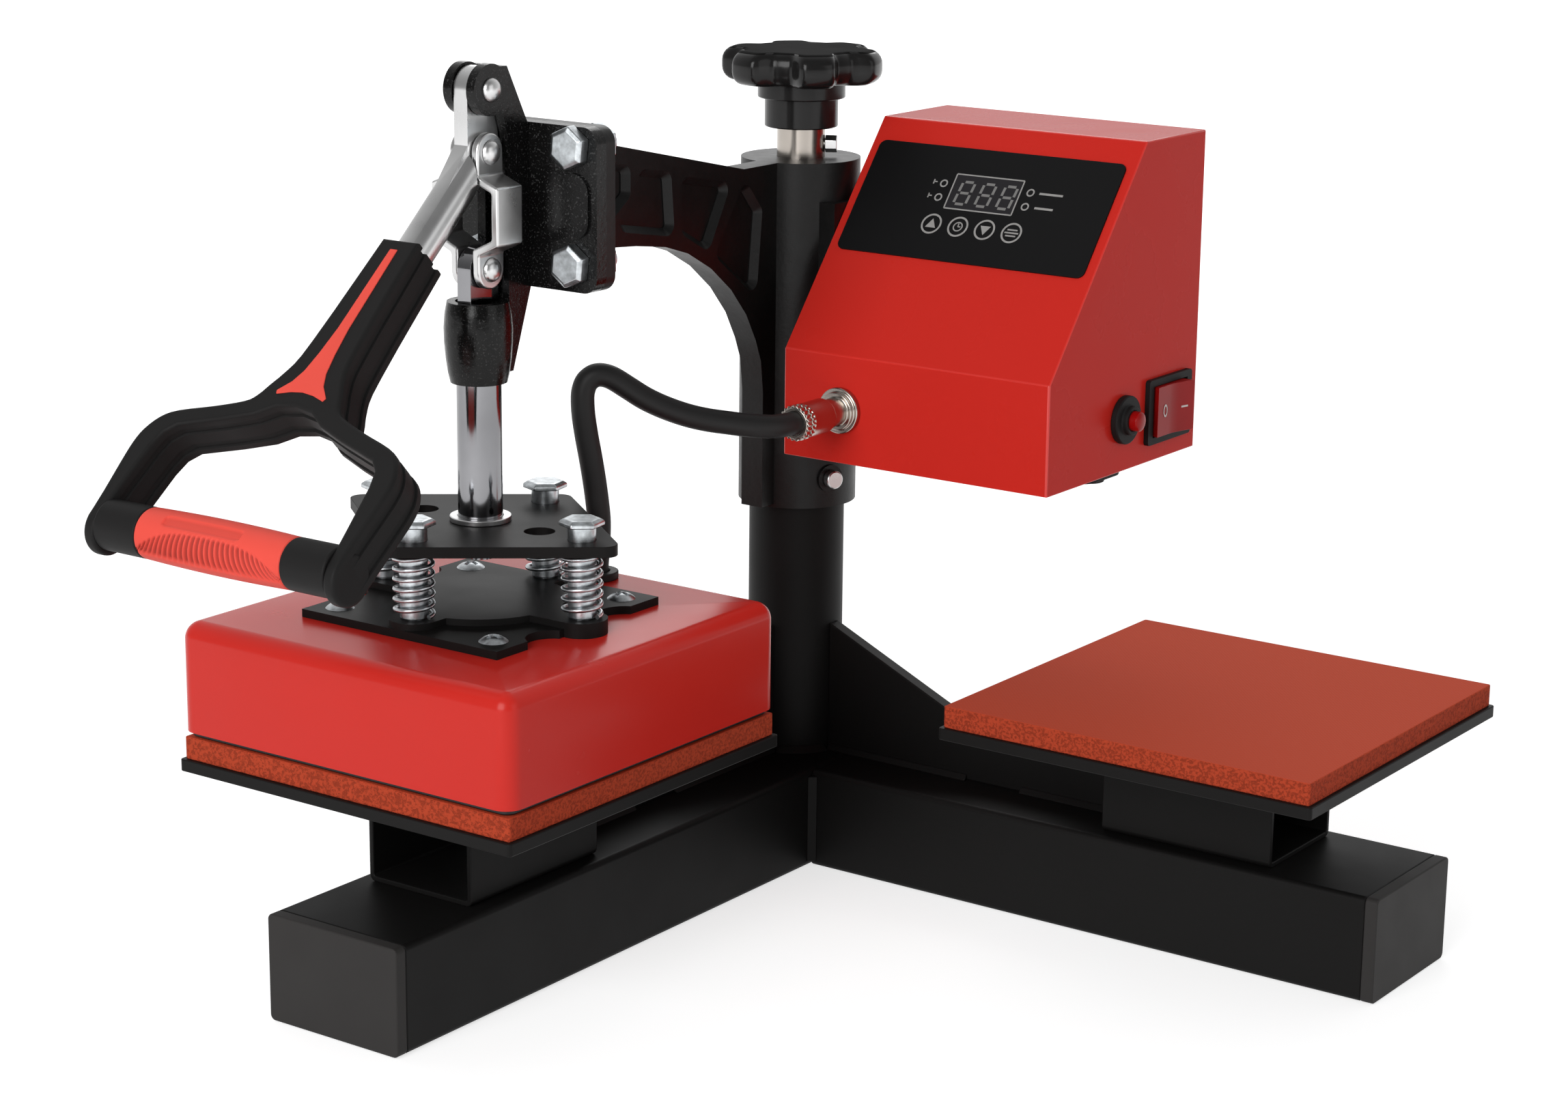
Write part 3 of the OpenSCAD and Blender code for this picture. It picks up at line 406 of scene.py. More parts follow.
# ---- mesh helpers ----
def new_object(name, data):
    obj = bpy.data.objects.new(name, data)
    bpy.context.scene.collection.objects.link(obj)
    return obj


def object_from(bm, name, body, slot_name, angle=32, finish=None):
    """Makes a piece from a bmesh, in its place, with smooth faces and crisp edges past the angle."""
    bmesh.ops.recalc_face_normals(bm, faces=bm.faces)
    for face in bm.faces:
        face.smooth = True
    limit = math.radians(angle)
    for edge in bm.edges:
        edge.smooth = len(edge.link_faces) == 2 and edge.calc_face_angle(0) < limit
    mesh = bpy.data.meshes.new(name)
    bm.to_mesh(mesh)
    bm.free()
    obj = new_object(name, mesh)
    mesh.materials.append(finish_for(finish or slot_name))
    if body:
        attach(obj, body)
    return obj


def finished(bm, node, angle=32, finish=None):
    """Makes a bmesh the piece that stands for a CAD node, on the node's body."""
    obj = object_from(bm, node + "_finished", BODY_OF[node], SLOT_OF[node], angle, finish)
    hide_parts(node)
    return obj


def soften(obj, width, segments=2, angle=32, edge_finish=None):
    """Rounds the edges of a piece, and may give the rounding a finish of its own."""
    mod = obj.modifiers.new("rounded edges", "BEVEL")
    if edge_finish:
        obj.data.materials.append(finish_for(edge_finish))
        mod.material = 1
    mod.width = width
    mod.segments = segments
    mod.limit_method = "ANGLE"
    mod.angle_limit = math.radians(angle)
    mod.miter_outer = "MITER_ARC"
    mod.use_clamp_overlap = True
    even = obj.modifiers.new("flat faces", "WEIGHTED_NORMAL")
    even.keep_sharp = True


def copied(node):
    """A bmesh of a CAD node, its loose triangles merged and its flat faces made whole."""
    bm = bmesh.new()
    bm.from_mesh(nodes[node].data)
    bmesh.ops.remove_doubles(bm, verts=bm.verts, dist=2e-6)
    bmesh.ops.dissolve_limit(
        bm, angle_limit=math.radians(0.6), use_dissolve_boundaries=False, verts=bm.verts, edges=bm.edges)
    return bm


def split_rims(bm):
    """Cuts thin rims round an opening into convex pieces, so that their rounding can't fold over."""
    rims = [f for f in bm.faces if len(f.verts) > 4 and f.calc_area() < THIN_RIM * f.calc_perimeter()]
    bmesh.ops.connect_verts_concave(bm, faces=rims)


def dressed(node, width=None, segments=2, angle=32, finish=None, edge_finish=None, shape=None):
    """A rounded copy of a CAD node that stands for it."""
    if width is None:
        width = mm(ROUNDING[node])
    bm = copied(node)
    if shape:
        shape(bm)
    obj = finished(bm, node, angle, finish)
    if width:
        soften(obj, width, segments, angle, edge_finish)
    return obj


def painted(node):
    """A CAD node that stays as it is, with its finish."""
    materials = nodes[node].data.materials
    materials.clear()
    materials.append(finish_for(SLOT_OF[node]))


def put(bm, place, verts=None):
    """Moves a mesh, or some of its vertices, from its own frame to its place."""
    bmesh.ops.transform(bm, matrix=place, verts=verts or bm.verts)


def of_kind(geometry, kind):
    return [g for g in geometry if isinstance(g, kind)]


def since(bm, known):
    """The vertices made since the known ones."""
    return [v for v in bm.verts if v not in known]


def inset(bm, faces, inwards, depth=0.0):
    bmesh.ops.inset_region(bm, faces=faces, use_boundary=True, use_even_offset=True,
                           thickness=inwards, depth=depth)


def raised(bm, faces, height):
    """Gives loose flat faces a thickness, and returns the lifted ones."""
    out = bmesh.ops.extrude_face_region(bm, geom=faces)["geom"]
    bmesh.ops.translate(bm, verts=of_kind(out, bmesh.types.BMVert), vec=(0, 0, height))
    bmesh.ops.recalc_face_normals(bm, faces=bm.faces)
    return of_kind(out, bmesh.types.BMFace)


def round_rim(bm, cap, fillet, steps=5):
    """Rounds the rim of a slab's flat end by insets along a quarter circle."""
    quarter = math.pi / 2
    for k in range(steps):
        a, b = quarter * k / steps, quarter * (k + 1) / steps
        inset(bm, [cap], fillet * (math.cos(a) - math.cos(b)), fillet * (math.sin(b) - math.sin(a)))
    inset(bm, [cap], fillet * 0.12)


def round_face(bm, sides, radius):
    """The vertices of a new flat face with equal sides."""
    return bmesh.ops.create_circle(bm, cap_ends=True, segments=sides, radius=radius)["verts"]


def slab(bm, base, height, fillet):
    """Lifts a flat face into a slab with rounded rims, and returns its walls."""
    bmesh.ops.translate(bm, verts=base.verts, vec=(0, 0, fillet))
    top = raised(bm, [base], height - 2 * fillet)[0]
    walls = [f for f in bm.faces if f.is_valid and abs(f.normal.z) < 0.5]
    for cap in (base, top):
        round_rim(bm, cap, fillet)
    return walls


def stroke(bm, a, b, width):
    """A flat bar from one point to another."""
    a, b = Vector(a), Vector(b)
    run = b - a
    place = (Matrix.Translation(((a + b) / 2).to_3d()) @ Matrix.Rotation(math.atan2(run.y, run.x), 4, "Z")
             @ Matrix.Diagonal((run.length / 2, width / 2, 1, 1)))
    bmesh.ops.create_grid(bm, x_segments=1, y_segments=1, size=1, matrix=place)


def ring(bm, centre, radius, width, segments=36):
    """A flat ring whose outer radius is given."""
    loops = []
    for r in (radius, radius - width):
        made = bmesh.ops.create_circle(bm, segments=segments, radius=r,
                                       matrix=Matrix.Translation(Vector(centre).to_3d()))["verts"]
        loops += list({e for v in made for e in v.link_edges})
    bmesh.ops.bridge_loops(bm, edges=loops)


def triangle(bm, centre, radius, turn=0.0):
    place = Matrix.Translation(Vector(centre).to_3d()) @ Matrix.Rotation(turn, 4, "Z")
    bmesh.ops.create_circle(bm, cap_ends=True, segments=3, radius=radius, matrix=place)


def plate(bm, centre, wide, high):
    """A flat rectangle, given by half of its sides."""
    place = Matrix.Translation(Vector(centre).to_3d()) @ Matrix.Diagonal((wide, high, 1, 1))
    bmesh.ops.create_grid(bm, x_segments=1, y_segments=1, size=1, matrix=place)


def printed(bm, name, body, place, thickness, finish):
    """Finishes flat marks as a thin print on a surface."""
    raised(bm, bm.faces[:], thickness)
    put(bm, place)
    return object_from(bm, name, body, "legend", 20, finish)


def drum(bm, radius, low, high, segments=64):
    """A plain turned length along the local axis."""
    place = Matrix.Translation((0, 0, (low + high) / 2))
    return bmesh.ops.create_cone(bm, cap_ends=True, segments=segments, radius1=radius, radius2=radius,
                                 depth=high - low, matrix=place)["verts"]


def hex_head(bm, across, height, place):
    """A bolt's head with its top corners chamfered, standing on the local floor."""
    known = set(bm.verts)
    chamfer = across * 0.07
    base = round_face(bm, 6, across / 2 / math.cos(math.pi / 6))[0].link_faces[0]
    top = raised(bm, [base], height - chamfer)[0]
    inset(bm, [top], chamfer * 1.5, chamfer)
    put(bm, place, since(bm, known))


def tube_mesh(name, points, radius, sides, slot_name):
    """A closed round tube along a line of points."""
    bm = bmesh.new()
    rings = []
    side = None
    for i, p in enumerate(points):
        ahead = points[min(i + 1, len(points) - 1)] - points[max(i - 1, 0)]
        ahead.normalize()
        if side is None:
            side = ahead.orthogonal().normalized()
        side = (side - ahead * side.dot(ahead)).normalized()
        circle = bmesh.ops.create_circle(bm, segments=sides, radius=radius)["verts"]
        turn = Matrix((side, ahead.cross(side), ahead)).transposed().to_4x4()
        put(bm, Matrix.Translation(p) @ turn, circle)
        rings.append(list({e for v in circle for e in v.link_edges}))
    for a, b in zip(rings, rings[1:]):
        bmesh.ops.bridge_loops(bm, edges=a + b)
    for end in (rings[0], rings[-1]):
        bmesh.ops.edgeloop_fill(bm, edges=end)
    return object_from(bm, name, None, slot_name, 50)


def smooth_line(points, steps):
    """Points of a smooth curve through the given ones."""
    out = []
    n = len(points)
    for i in range(n - 1):
        p0, p1 = points[max(i - 1, 0)], points[i]
        p2, p3 = points[i + 1], points[min(i + 2, n - 1)]
        for k in range(steps):
            t = k / steps
            out.append(0.5 * (2 * p1 + (p2 - p0) * t + (2 * p0 - 5 * p1 + 4 * p2 - p3) * t * t
                              + (3 * p1 - p0 - 3 * p2 + p3) * t * t * t))
    out.append(points[-1].copy())
    return out


# ---- pieces ----
class PRESS_OT_stage(bpy.types.Operator):
    """Camera, soft lamps, pale floor and white surroundings"""

    bl_idname = "press.stage"
    bl_label = "Stage"

    # camera facts found from the photograph's edges
    place: bpy.props.FloatVectorProperty(
        name="Place", description="Where the camera stands", default=(0.7612, -1.0837, 0.4616),
        size=3, subtype="TRANSLATION", unit="LENGTH")
    heading: bpy.props.FloatProperty(
        name="Heading", description="Turn of the view from +Y towards -X",
        default=math.radians(35.2955), subtype="ANGLE")
    tilt: bpy.props.FloatProperty(
        name="Tilt", description="How far the view looks down",
        default=math.radians(14.5498), subtype="ANGLE")
    roll: bpy.props.FloatProperty(
        name="Roll", description="Turn of the picture",
        default=math.radians(0.6373), subtype="ANGLE")
    focal: bpy.props.FloatProperty(
        name="Focal length", description="For a sensor 36 mm wide", default=77.67)

    def execute(self, context):
        camera = bpy.data.cameras.new("camera")
        camera.lens = self.focal
        camera.sensor_width = 36
        camera.clip_end = 50
        obj = new_object("camera", camera)
        ahead = Vector((-math.sin(self.heading) * math.cos(self.tilt),
                        math.cos(self.heading) * math.cos(self.tilt), -math.sin(self.tilt)))
        right = Vector((math.cos(self.heading), math.sin(self.heading), 0))
        up = right.cross(ahead)
        right, up = (right * math.cos(self.roll) + up * math.sin(self.roll),
                     up * math.cos(self.roll) - right * math.sin(self.roll))
        turn = Matrix((right, up, -ahead)).transposed().to_4x4()
        obj.matrix_world = Matrix.Translation(Vector(self.place)) @ turn
        context.scene.camera = obj
        self.lamps(context)
        self.floor()
        context.scene.view_settings.view_transform = "Standard"
        return {"FINISHED"}

    def lamps(self, context):
        for name, place, size, power, aim in (
            ("front lamp", (0.3, -2.05, 0.95), 1.3, 31, (0, -0.1, 0.15)),
            ("side lamp", (1.9, -0.1, 0.7), 1.2, 4, (0, -0.05, 0.15)),
            ("back lamp", (-0.9, 1.5, 1.4), 1.2, 8, (0, -0.1, 0.15)),
        ):
            lamp = bpy.data.lights.new(name, "AREA")
            lamp.shape = "SQUARE"
            lamp.size = size
            lamp.energy = power
            obj = new_object(name, lamp)
            obj.location = place
            obj.rotation_euler = (Vector(aim) - Vector(place)).to_track_quat("-Z", "Y").to_euler()
        world = bpy.data.worlds.new("studio walls")
        world.use_nodes = True
        tree = world.node_tree
        back = tree.nodes["Background"]
        back.inputs["Color"].default_value = (1, 1, 1, 1)
        coord = tree.nodes.new("ShaderNodeTexCoord")
        facing = tree.nodes.new("ShaderNodeVectorMath")
        facing.operation = "DOT_PRODUCT"
        facing.inputs[1].default_value = (-math.sin(self.heading), math.cos(self.heading), 0)
        tree.links.new(coord.outputs["Generated"], facing.inputs[0])
        tree.links.new(ramp(tree, facing.outputs["Value"], 0.2, 0.85, -0.3, 0.75), back.inputs["Strength"])
        context.scene.world = world

    def floor(self):
        bm = bmesh.new()
        bmesh.ops.create_grid(bm, x_segments=2, y_segments=2, size=12)
        mesh = bpy.data.meshes.new("floor")
        bm.to_mesh(mesh)
        bm.free()
        obj = new_object("floor", mesh)
        obj.location.z = -0.0004
        mat, tree, shader = new_material("pale floor", (0.6, 0.6, 0.6), 0.9, specular=0.0)
        path = tree.nodes.new("ShaderNodeLightPath")
        mirrored = maths(tree, "MAXIMUM", path.outputs["Is Glossy Ray"], path.outputs["Is Transmission Ray"])
        seen = maths(tree, "MAXIMUM", path.outputs["Is Camera Ray"], mirrored)
        reach = tree.nodes.new("ShaderNodeVectorMath")
        reach.operation = "LENGTH"
        tree.links.new(object_coords(tree), reach.inputs[0])
        glow = tree.nodes.new("ShaderNodeEmission")
        tree.links.new(ramp(tree, reach.outputs["Value"], 0.68, 1.0, 0.4, 2.2), glow.inputs["Strength"])
        both = tree.nodes.new("ShaderNodeAddShader")
        pick = tree.nodes.new("ShaderNodeMixShader")
        out = tree.nodes["Material Output"]
        tree.links.new(shader.outputs[0], both.inputs[0])
        tree.links.new(glow.outputs[0], both.inputs[1])
        tree.links.new(seen, pick.inputs[0])
        tree.links.new(shader.outputs[0], pick.inputs[1])
        tree.links.new(both.outputs[0], pick.inputs[2])
        tree.links.new(pick.outputs[0], out.inputs["Surface"])
        mesh.materials.append(mat)


class PRESS_OT_cable(bpy.types.Operator):
    """Black cable that arches from the box's plug into the platen cover"""

    bl_idname = "press.cable"
    bl_label = "Platen cable"

    def execute(self, context):
        route = smooth_line([Vector(p) / 1000 for p in CABLE_ROUTE], 4)
        obj = tube_mesh("platen_cable_sheath", route, sizes().cable_width / 2, 24, "black_rubber")
        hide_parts("platen_cable")
        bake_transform(obj)
        return {"FINISHED"}


class PRESS_OT_base(bpy.types.Operator):
    """Leg tubes, end caps, column, gussets, channels and station plates"""

    bl_idname = "press.base"
    bl_label = "Base frame"

    def execute(self, context):
        for node in ("front_leg", "side_leg", "column", "gussets"):
            dressed(node, sizes().edge)
        dressed("end_caps", sizes().edge, finish="end_cap")
        for node in ("support_channels", "station_plates"):
            dressed(node, sizes().edge * 0.7)
        dressed("weld_beads")
        painted("column_bush")
        return {"FINISHED"}


class PRESS_OT_pads(bpy.types.Operator):
    """Silicone sponge pads"""

    bl_idname = "press.pads"
    bl_label = "Pads"

    def execute(self, context):
        obj = dressed("silicone_pads")
        return {"FINISHED"}


class PRESS_OT_lift(bpy.types.Operator):
    """Lift sleeve, its screw, the star knob and the spindle"""

    bl_idname = "press.lift"
    bl_label = "Lift and knob"

    lobes: bpy.props.IntProperty(name="Lobes", description="Lobes round the star knob", default=6)
    turn: bpy.props.FloatProperty(
        name="Turn", description="Where the first lobe points", default=math.radians(17), subtype="ANGLE")

    def execute(self, context):
        dressed("lift_sleeve", finish="nickel")
        dressed("sleeve_screw")
        painted("knob_spindle")
        self.knob()
        return {"FINISHED"}

    def knob(self):
        low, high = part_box("star_knob")
        outer, valley = mm(31.7), mm(25)
        neck, star = mm(302.6), mm(308.6)
        bm = bmesh.new()
        made = round_face(bm, 168, 1)
        for v in made:
            a = math.atan2(v.co.y, v.co.x) - self.turn
            t = max(0, min(1, (0.5 + 0.5 * math.cos(self.lobes * a) - 0.12) / 0.66))
            v.co *= valley + (outer - valley) * t * t * (3 - 2 * t)
        rim, quarter = sizes().knob_rim, math.pi / 2
        base = made[0].link_faces[0]
        bmesh.ops.translate(bm, verts=base.verts, vec=(0, 0, rim))
        top = raised(bm, [base], high.z - star - 2 * rim)[0]
        for cap, way in ((base, -1), (top, 1)):
            for k in range(6):
                a, b = quarter * k / 6, quarter * (k + 1) / 6
                bmesh.ops.inset_region(bm, faces=[cap], use_boundary=True, thickness=1e-6)
                narrow = (outer - rim * (1 - math.cos(b))) / (outer - rim * (1 - math.cos(a)))
                bmesh.ops.scale(bm, verts=cap.verts, vec=(narrow, narrow, 1))
                bmesh.ops.translate(bm, verts=cap.verts, vec=(0, 0, way * rim * (math.sin(b) - math.sin(a))))
        bmesh.ops.translate(bm, verts=bm.verts, vec=(0, 0, star))
        for radius, bottom, top in ((mm(14.4), low.z, neck + mm(0.5)), (mm(17.2), neck, star + mm(3))):
            drum(bm, radius, bottom, top)
        bm.normal_update()
        # The knob's upward faces take a matte copy of its plastic painted darker: painted shade that keeps
        # the top dark.
        for face in bm.faces:
            face.material_index = face.normal.z > 0.8
        obj = finished(bm, "star_knob", 40, "glossy_plastic")
        obj.data.materials.append(finish_for("matte_plastic"))
        soften(obj, mm(0.5), 2, 60)


class PRESS_OT_arm(bpy.types.Operator):
    """Pocketed arm, toggle casting and their fasteners"""

    bl_idname = "press.arm"
    bl_label = "Castings"

    slope: bpy.props.FloatProperty(
        name="Pocket slope", description="Chamfer of the arm's pocket rims", default=0.0026, unit="LENGTH")

    def execute(self, context):
        dressed("arm_casting", sizes().cast_edge, 3, 30, shape=self.draft)
        dressed("toggle_casting", sizes().cast_edge, 3, 30, "gloss_cast")
        dressed("hub_lock_screw")
        dressed("fixed_pin")
        self.bolts()
        return {"FINISHED"}

    def draft(self, bm):
        """Slopes the walls of the arm's pockets, as a casting's are."""
        face, floor = mm(5), mm(2)
        rims = []
        for edge in bm.edges:
            if all(abs(abs(v.co.x) - face) < 1e-5 for v in edge.verts):
                walls = [f for f in edge.link_faces
                         if abs(f.normal.x) < 0.3 and any(abs(abs(v.co.x) - floor) < 1e-5 for v in f.verts)]
                if walls:
                    rims.append(edge)
        bmesh.ops.bevel(bm, geom=rims, offset=self.slope, offset_type="OFFSET", segments=1, profile=0.5,
                        affect="EDGES", material=-1, clamp_overlap=False)

    def bolts(self):
        """Four hex bolts through the flange, with nuts behind the arm's plate."""
        low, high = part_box("flange_bolts")
        reach = mm(8.1)
        bm = bmesh.new()
        for x in (low.x + reach, high.x - reach):
            for z in (low.z + reach, high.z - reach):
                axis = Matrix.Translation((x, low.y + mm(5), z)) @ Matrix.Rotation(math.pi / 2, 4, "X")
                hex_head(bm, mm(13.4), mm(5), axis @ Matrix.Rotation(math.radians(54), 4, "Z"))
                back = Matrix.Translation((x, high.y - mm(9.3), z)) @ Matrix.Rotation(-math.pi / 2, 4, "X")
                hex_head(bm, mm(13), mm(6.3), back)
                shank = drum(bm, mm(4), -(high.y - low.y - mm(5)), 0, 32)
                put(bm, axis, shank)
        soften(finished(bm, "flange_bolts", 20, "bolt_zinc"), mm(0.3), 2, 20)


class PRESS_OT_box(bpy.types.Operator):
    """Folded red box and its back panel"""

    bl_idname = "press.box"
    bl_label = "Control box"

    def execute(self, context):
        # The folds' rounding takes the lighter red: a painted highlight along the folds.
        dressed("box_shell", sizes().fold, 3, 30, edge_finish="red_fold_highlight", shape=split_rims)
        dressed("box_back")
        return {"FINISHED"}


def on_slope(lift=0.0):
    """Turns the panel's flat frame onto the box's slanted front."""
    return (Matrix.Translation((0, mm(19.5), mm(295.5))) @ Matrix.Rotation(math.radians(51.47), 4, "X")
            @ Matrix.Translation((0, 0, lift)))


class PRESS_OT_panel(bpy.types.Operator):
    """Black film panel with its window, unlit digits, key rings and lamp rings"""

    bl_idname = "press.panel"
    bl_label = "Key panel"

    centre: bpy.props.FloatVectorProperty(
        name="Centre", description="Middle of the panel on the slope", default=(0.085, -0.03573), size=2)
    key_pitch: bpy.props.FloatProperty(
        name="Key pitch", description="Distance between the keys", default=0.0119, unit="LENGTH")

    def execute(self, context):
        self.board()
        painted("display_window")
        self.digits()
        self.keys()
        self.lamps()
        return {"FINISHED"}

    def board(self):
        bm = bmesh.new()
        plate(bm, self.centre, mm(55), mm(24.75))
        bmesh.ops.bevel(bm, geom=bm.verts[:], offset=mm(3), segments=8, profile=0.5, affect="VERTICES",
                        material=-1)
        slab(bm, bm.faces[:][0], mm(0.8), mm(0.15))
        put(bm, on_slope())
        finished(bm, "key_panel")
        bm = bmesh.new()
        plate(bm, self.window(), mm(15), mm(7.5))
        raised(bm, bm.faces[:], mm(0.05))
        put(bm, on_slope(mm(0.78)))
        object_from(bm, "window_glass", "arm", "window", 20)

    def window(self):
        return self.centre[0] + mm(0.1), self.centre[1] + mm(5.4)

    def digits(self):
        """The window's printed border and three unlit figures."""
        wx, wy = self.window()
        bm = bmesh.new()
        w, h = mm(15), mm(7.6)
        corners = [(wx - w, wy - h), (wx + w, wy - h), (wx + w, wy + h), (wx - w, wy + h)]
        for a, b in zip(corners, corners[1:] + corners[:1]):
            stroke(bm, a, b, mm(0.55))
        printed(bm, "window_border", "arm", on_slope(mm(0.8)), mm(0.07), "legend")
        bm = bmesh.new()
        for i in (-1, 0, 1):
            x, y = wx + mm(0.8) + i * mm(9.5), wy - mm(0.4)
            lean, tall, thick = mm(0.4), 4.9, mm(1.1)
            for k in (-1, 0, 1):
                mid, level = x + k * lean, y + k * mm(tall)
                stroke(bm, (mid - mm(1.8), level), (mid + mm(1.8), level), thick)
            for edge in (x - mm(2.7), x + mm(2.7)):
                for foot, head in ((-4.3, -0.6), (0.6, 4.3)):
                    stroke(bm, (edge + lean * foot / tall, y + mm(foot)),
                           (edge + lean * head / tall, y + mm(head)), thick)
        digits = printed(bm, "unlit_digits", "arm", on_slope(mm(0.83)), mm(0.05), "faint")
        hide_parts("display_digits")

    def keys(self):
        bm = bmesh.new()
        y = self.centre[1] - mm(9.6)
        xs = [self.centre[0] + mm(0.5) + i * self.key_pitch for i in (-1.5, -0.5, 0.5, 1.5)]
        for x in xs:
            ring(bm, (x, y), mm(4.4), mm(0.75))
        triangle(bm, (xs[0], y - mm(0.3)), mm(2.6))
        triangle(bm, (xs[2], y + mm(0.3)), mm(2.6), math.pi)
        ring(bm, (xs[1], y), mm(2.1), mm(0.5), 24)
        stroke(bm, (xs[1], y), (xs[1], y + mm(1.4)), mm(0.45))
        stroke(bm, (xs[1], y), (xs[1] + mm(1.1), y), mm(0.45))
        for dy, half in ((1.3, 2.2), (0, 3.0), (-1.3, 2.2)):
            stroke(bm, (xs[3] - mm(half), y + mm(dy)), (xs[3] + mm(half), y + mm(dy)), mm(0.6))
        obj = printed(bm, "key_rings", "arm", on_slope(mm(0.8)), mm(0.08), "legend")
        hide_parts("panel_keys")

    def lamps(self):
        bm = bmesh.new()
        x, y = self.centre
        for dx in (mm(-19.2), mm(19.5)):
            for dy in (mm(8.3), mm(2.1)):
                ring(bm, (x + dx, y + dy), mm(1.7), mm(0.6), 24)
        for dy in (mm(8.7), mm(2.5)):
            stroke(bm, (x - mm(23.8), y + dy), (x - mm(22.3), y + dy), mm(0.5))
            stroke(bm, (x - mm(23.8), y + dy - mm(1)), (x - mm(23.8), y + dy + mm(1)), mm(0.5))
        stroke(bm, (x + mm(23.4), y + mm(8.3)), (x + mm(33.6), y + mm(8.3)), mm(0.9))
        stroke(bm, (x + mm(23.7), y + mm(2)), (x + mm(31.7), y + mm(2)), mm(0.9))
        obj = printed(bm, "lamp_rings", "arm", on_slope(mm(0.8)), mm(0.06), "legend")
        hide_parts("panel_lamps")


class PRESS_OT_switches(bpy.types.Operator):
    """Rocker switch, reset button, cord gland, socket and plug"""

    bl_idname = "press.switches"
    bl_label = "Switches and socket"

    tilt: bpy.props.FloatProperty(
        name="Rocker tilt", description="How far the rocker leans at rest", default=math.radians(-7),
        subtype="ANGLE")
    flank: bpy.props.FloatProperty(
        name="Rocker flank", description="Slope of each half of the rocker's face",
        default=math.radians(7.3), subtype="ANGLE")

    def execute(self, context):
        dressed("switch_frame", shape=split_rims)
        dressed("power_rocker", segments=3)
        for node in ("breaker_collar", "reset_button", "cord_gland"):
            dressed(node)
        for node in ("panel_socket", "cable_plug"):
            dressed(node, finish="nickel")
        self.knurl()
        self.marks()
        return {"FINISHED"}

    def knurl(self):
        """Ribbed coupling ring at the plug's cable end."""
        low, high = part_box("cable_plug")
        socket = (low + high) / 2
        bm = bmesh.new()
        for step in (0, mm(3.1)):
            known = set(bm.verts)
            made = round_face(bm, 132, mm(6.5))
            for v in made:
                v.co *= 1 + 0.05 * math.cos(22 * math.atan2(v.co.y, v.co.x))
            slab(bm, made[0].link_faces[0], mm(2.4), mm(0.3))
            bmesh.ops.translate(bm, verts=since(bm, known), vec=(0, 0, step))
        middle = (socket.x, low.y + mm(5.6), socket.z)
        place = Matrix.Translation(middle) @ Matrix.Rotation(math.pi / 2, 4, "X")
        put(bm, place)
        object_from(bm, "plug_knurl", "arm", "chrome", 50, "nickel")

    def marks(self):
        """A ring and a bar on the rocker's two halves."""
        hinge = Matrix.Translation((mm(141), mm(41.3), mm(191.1))) @ Matrix.Rotation(self.tilt, 4, "Z")
        to_side = Matrix(((0, 0, 1, 0), (1, 0, 0, 0), (0, 1, 0, 0), (0, 0, 0, 1)))
        for side, name in ((-1, "off_ring"), (1, "on_bar")):
            bm = bmesh.new()
            if side < 0:
                ring(bm, (0, 0), mm(2), mm(0.65), 32)
                bmesh.ops.scale(bm, vec=(0.75, 1.25, 1), verts=bm.verts)
            else:
                stroke(bm, (mm(-1.8), 0), (mm(1.8), 0), mm(0.7))
            place = (hinge @ Matrix.Translation((mm(7.66), side * mm(6.2), 0))
                     @ Matrix.Rotation(-side * self.flank, 4, "Z") @ to_side)
            printed(bm, name, "rocker", place, mm(0.06), "white")


class PRESS_OT_lever(bpy.types.Operator):
    """Lever, straps, pins and plunger"""

    bl_idname = "press.lever"
    bl_label = "Toggle links"

    def execute(self, context):
        for node in ("toggle_lever", "link_straps"):
            dressed(node, segments=3)
        dressed("plunger_rod", shape=split_rims)
        for node in ("link_pins", "rod_collar", "rod_nut"):
            dressed(node)
        return {"FINISHED"}


# Half of the handle's outline from the lever's end round to the grip, in millimetres:
# (across, down the handle).
OUTER_RIM = [
    (9.5, 32), (11, 52), (13.5, 60), (16, 65), (18.5, 70), (22, 73), (33, 77), (47, 81.2), (53, 85),
    (56.6, 91), (57.6, 97), (57.3, 105), (56.4, 117), (56, 126.8),
]
INNER_RIM = [
    (51.3, 126.8), (50.2, 114), (48.7, 97), (47.2, 91), (43.6, 87.2), (27, 82.2), (15, 78), (8, 73.4),
    (0, 72),
]
BAR_DOWN = 126.8
HANDLE_DEEP = 17.7
FOOT_OUT = 56
FOOT_IN = 51.3


def on_handle():
    """Turns the handle's flat frame (across, down its length, through it) into the room's."""
    a = math.radians(42.15)
    across, down, through = (1, 0, 0), (0, -math.cos(a), -math.sin(a)), (0, math.sin(a), -math.cos(a))
    return (Matrix.Translation((0, mm(-234.7), mm(275.9)))
            @ Matrix((across, down, through)).transposed().to_4x4())


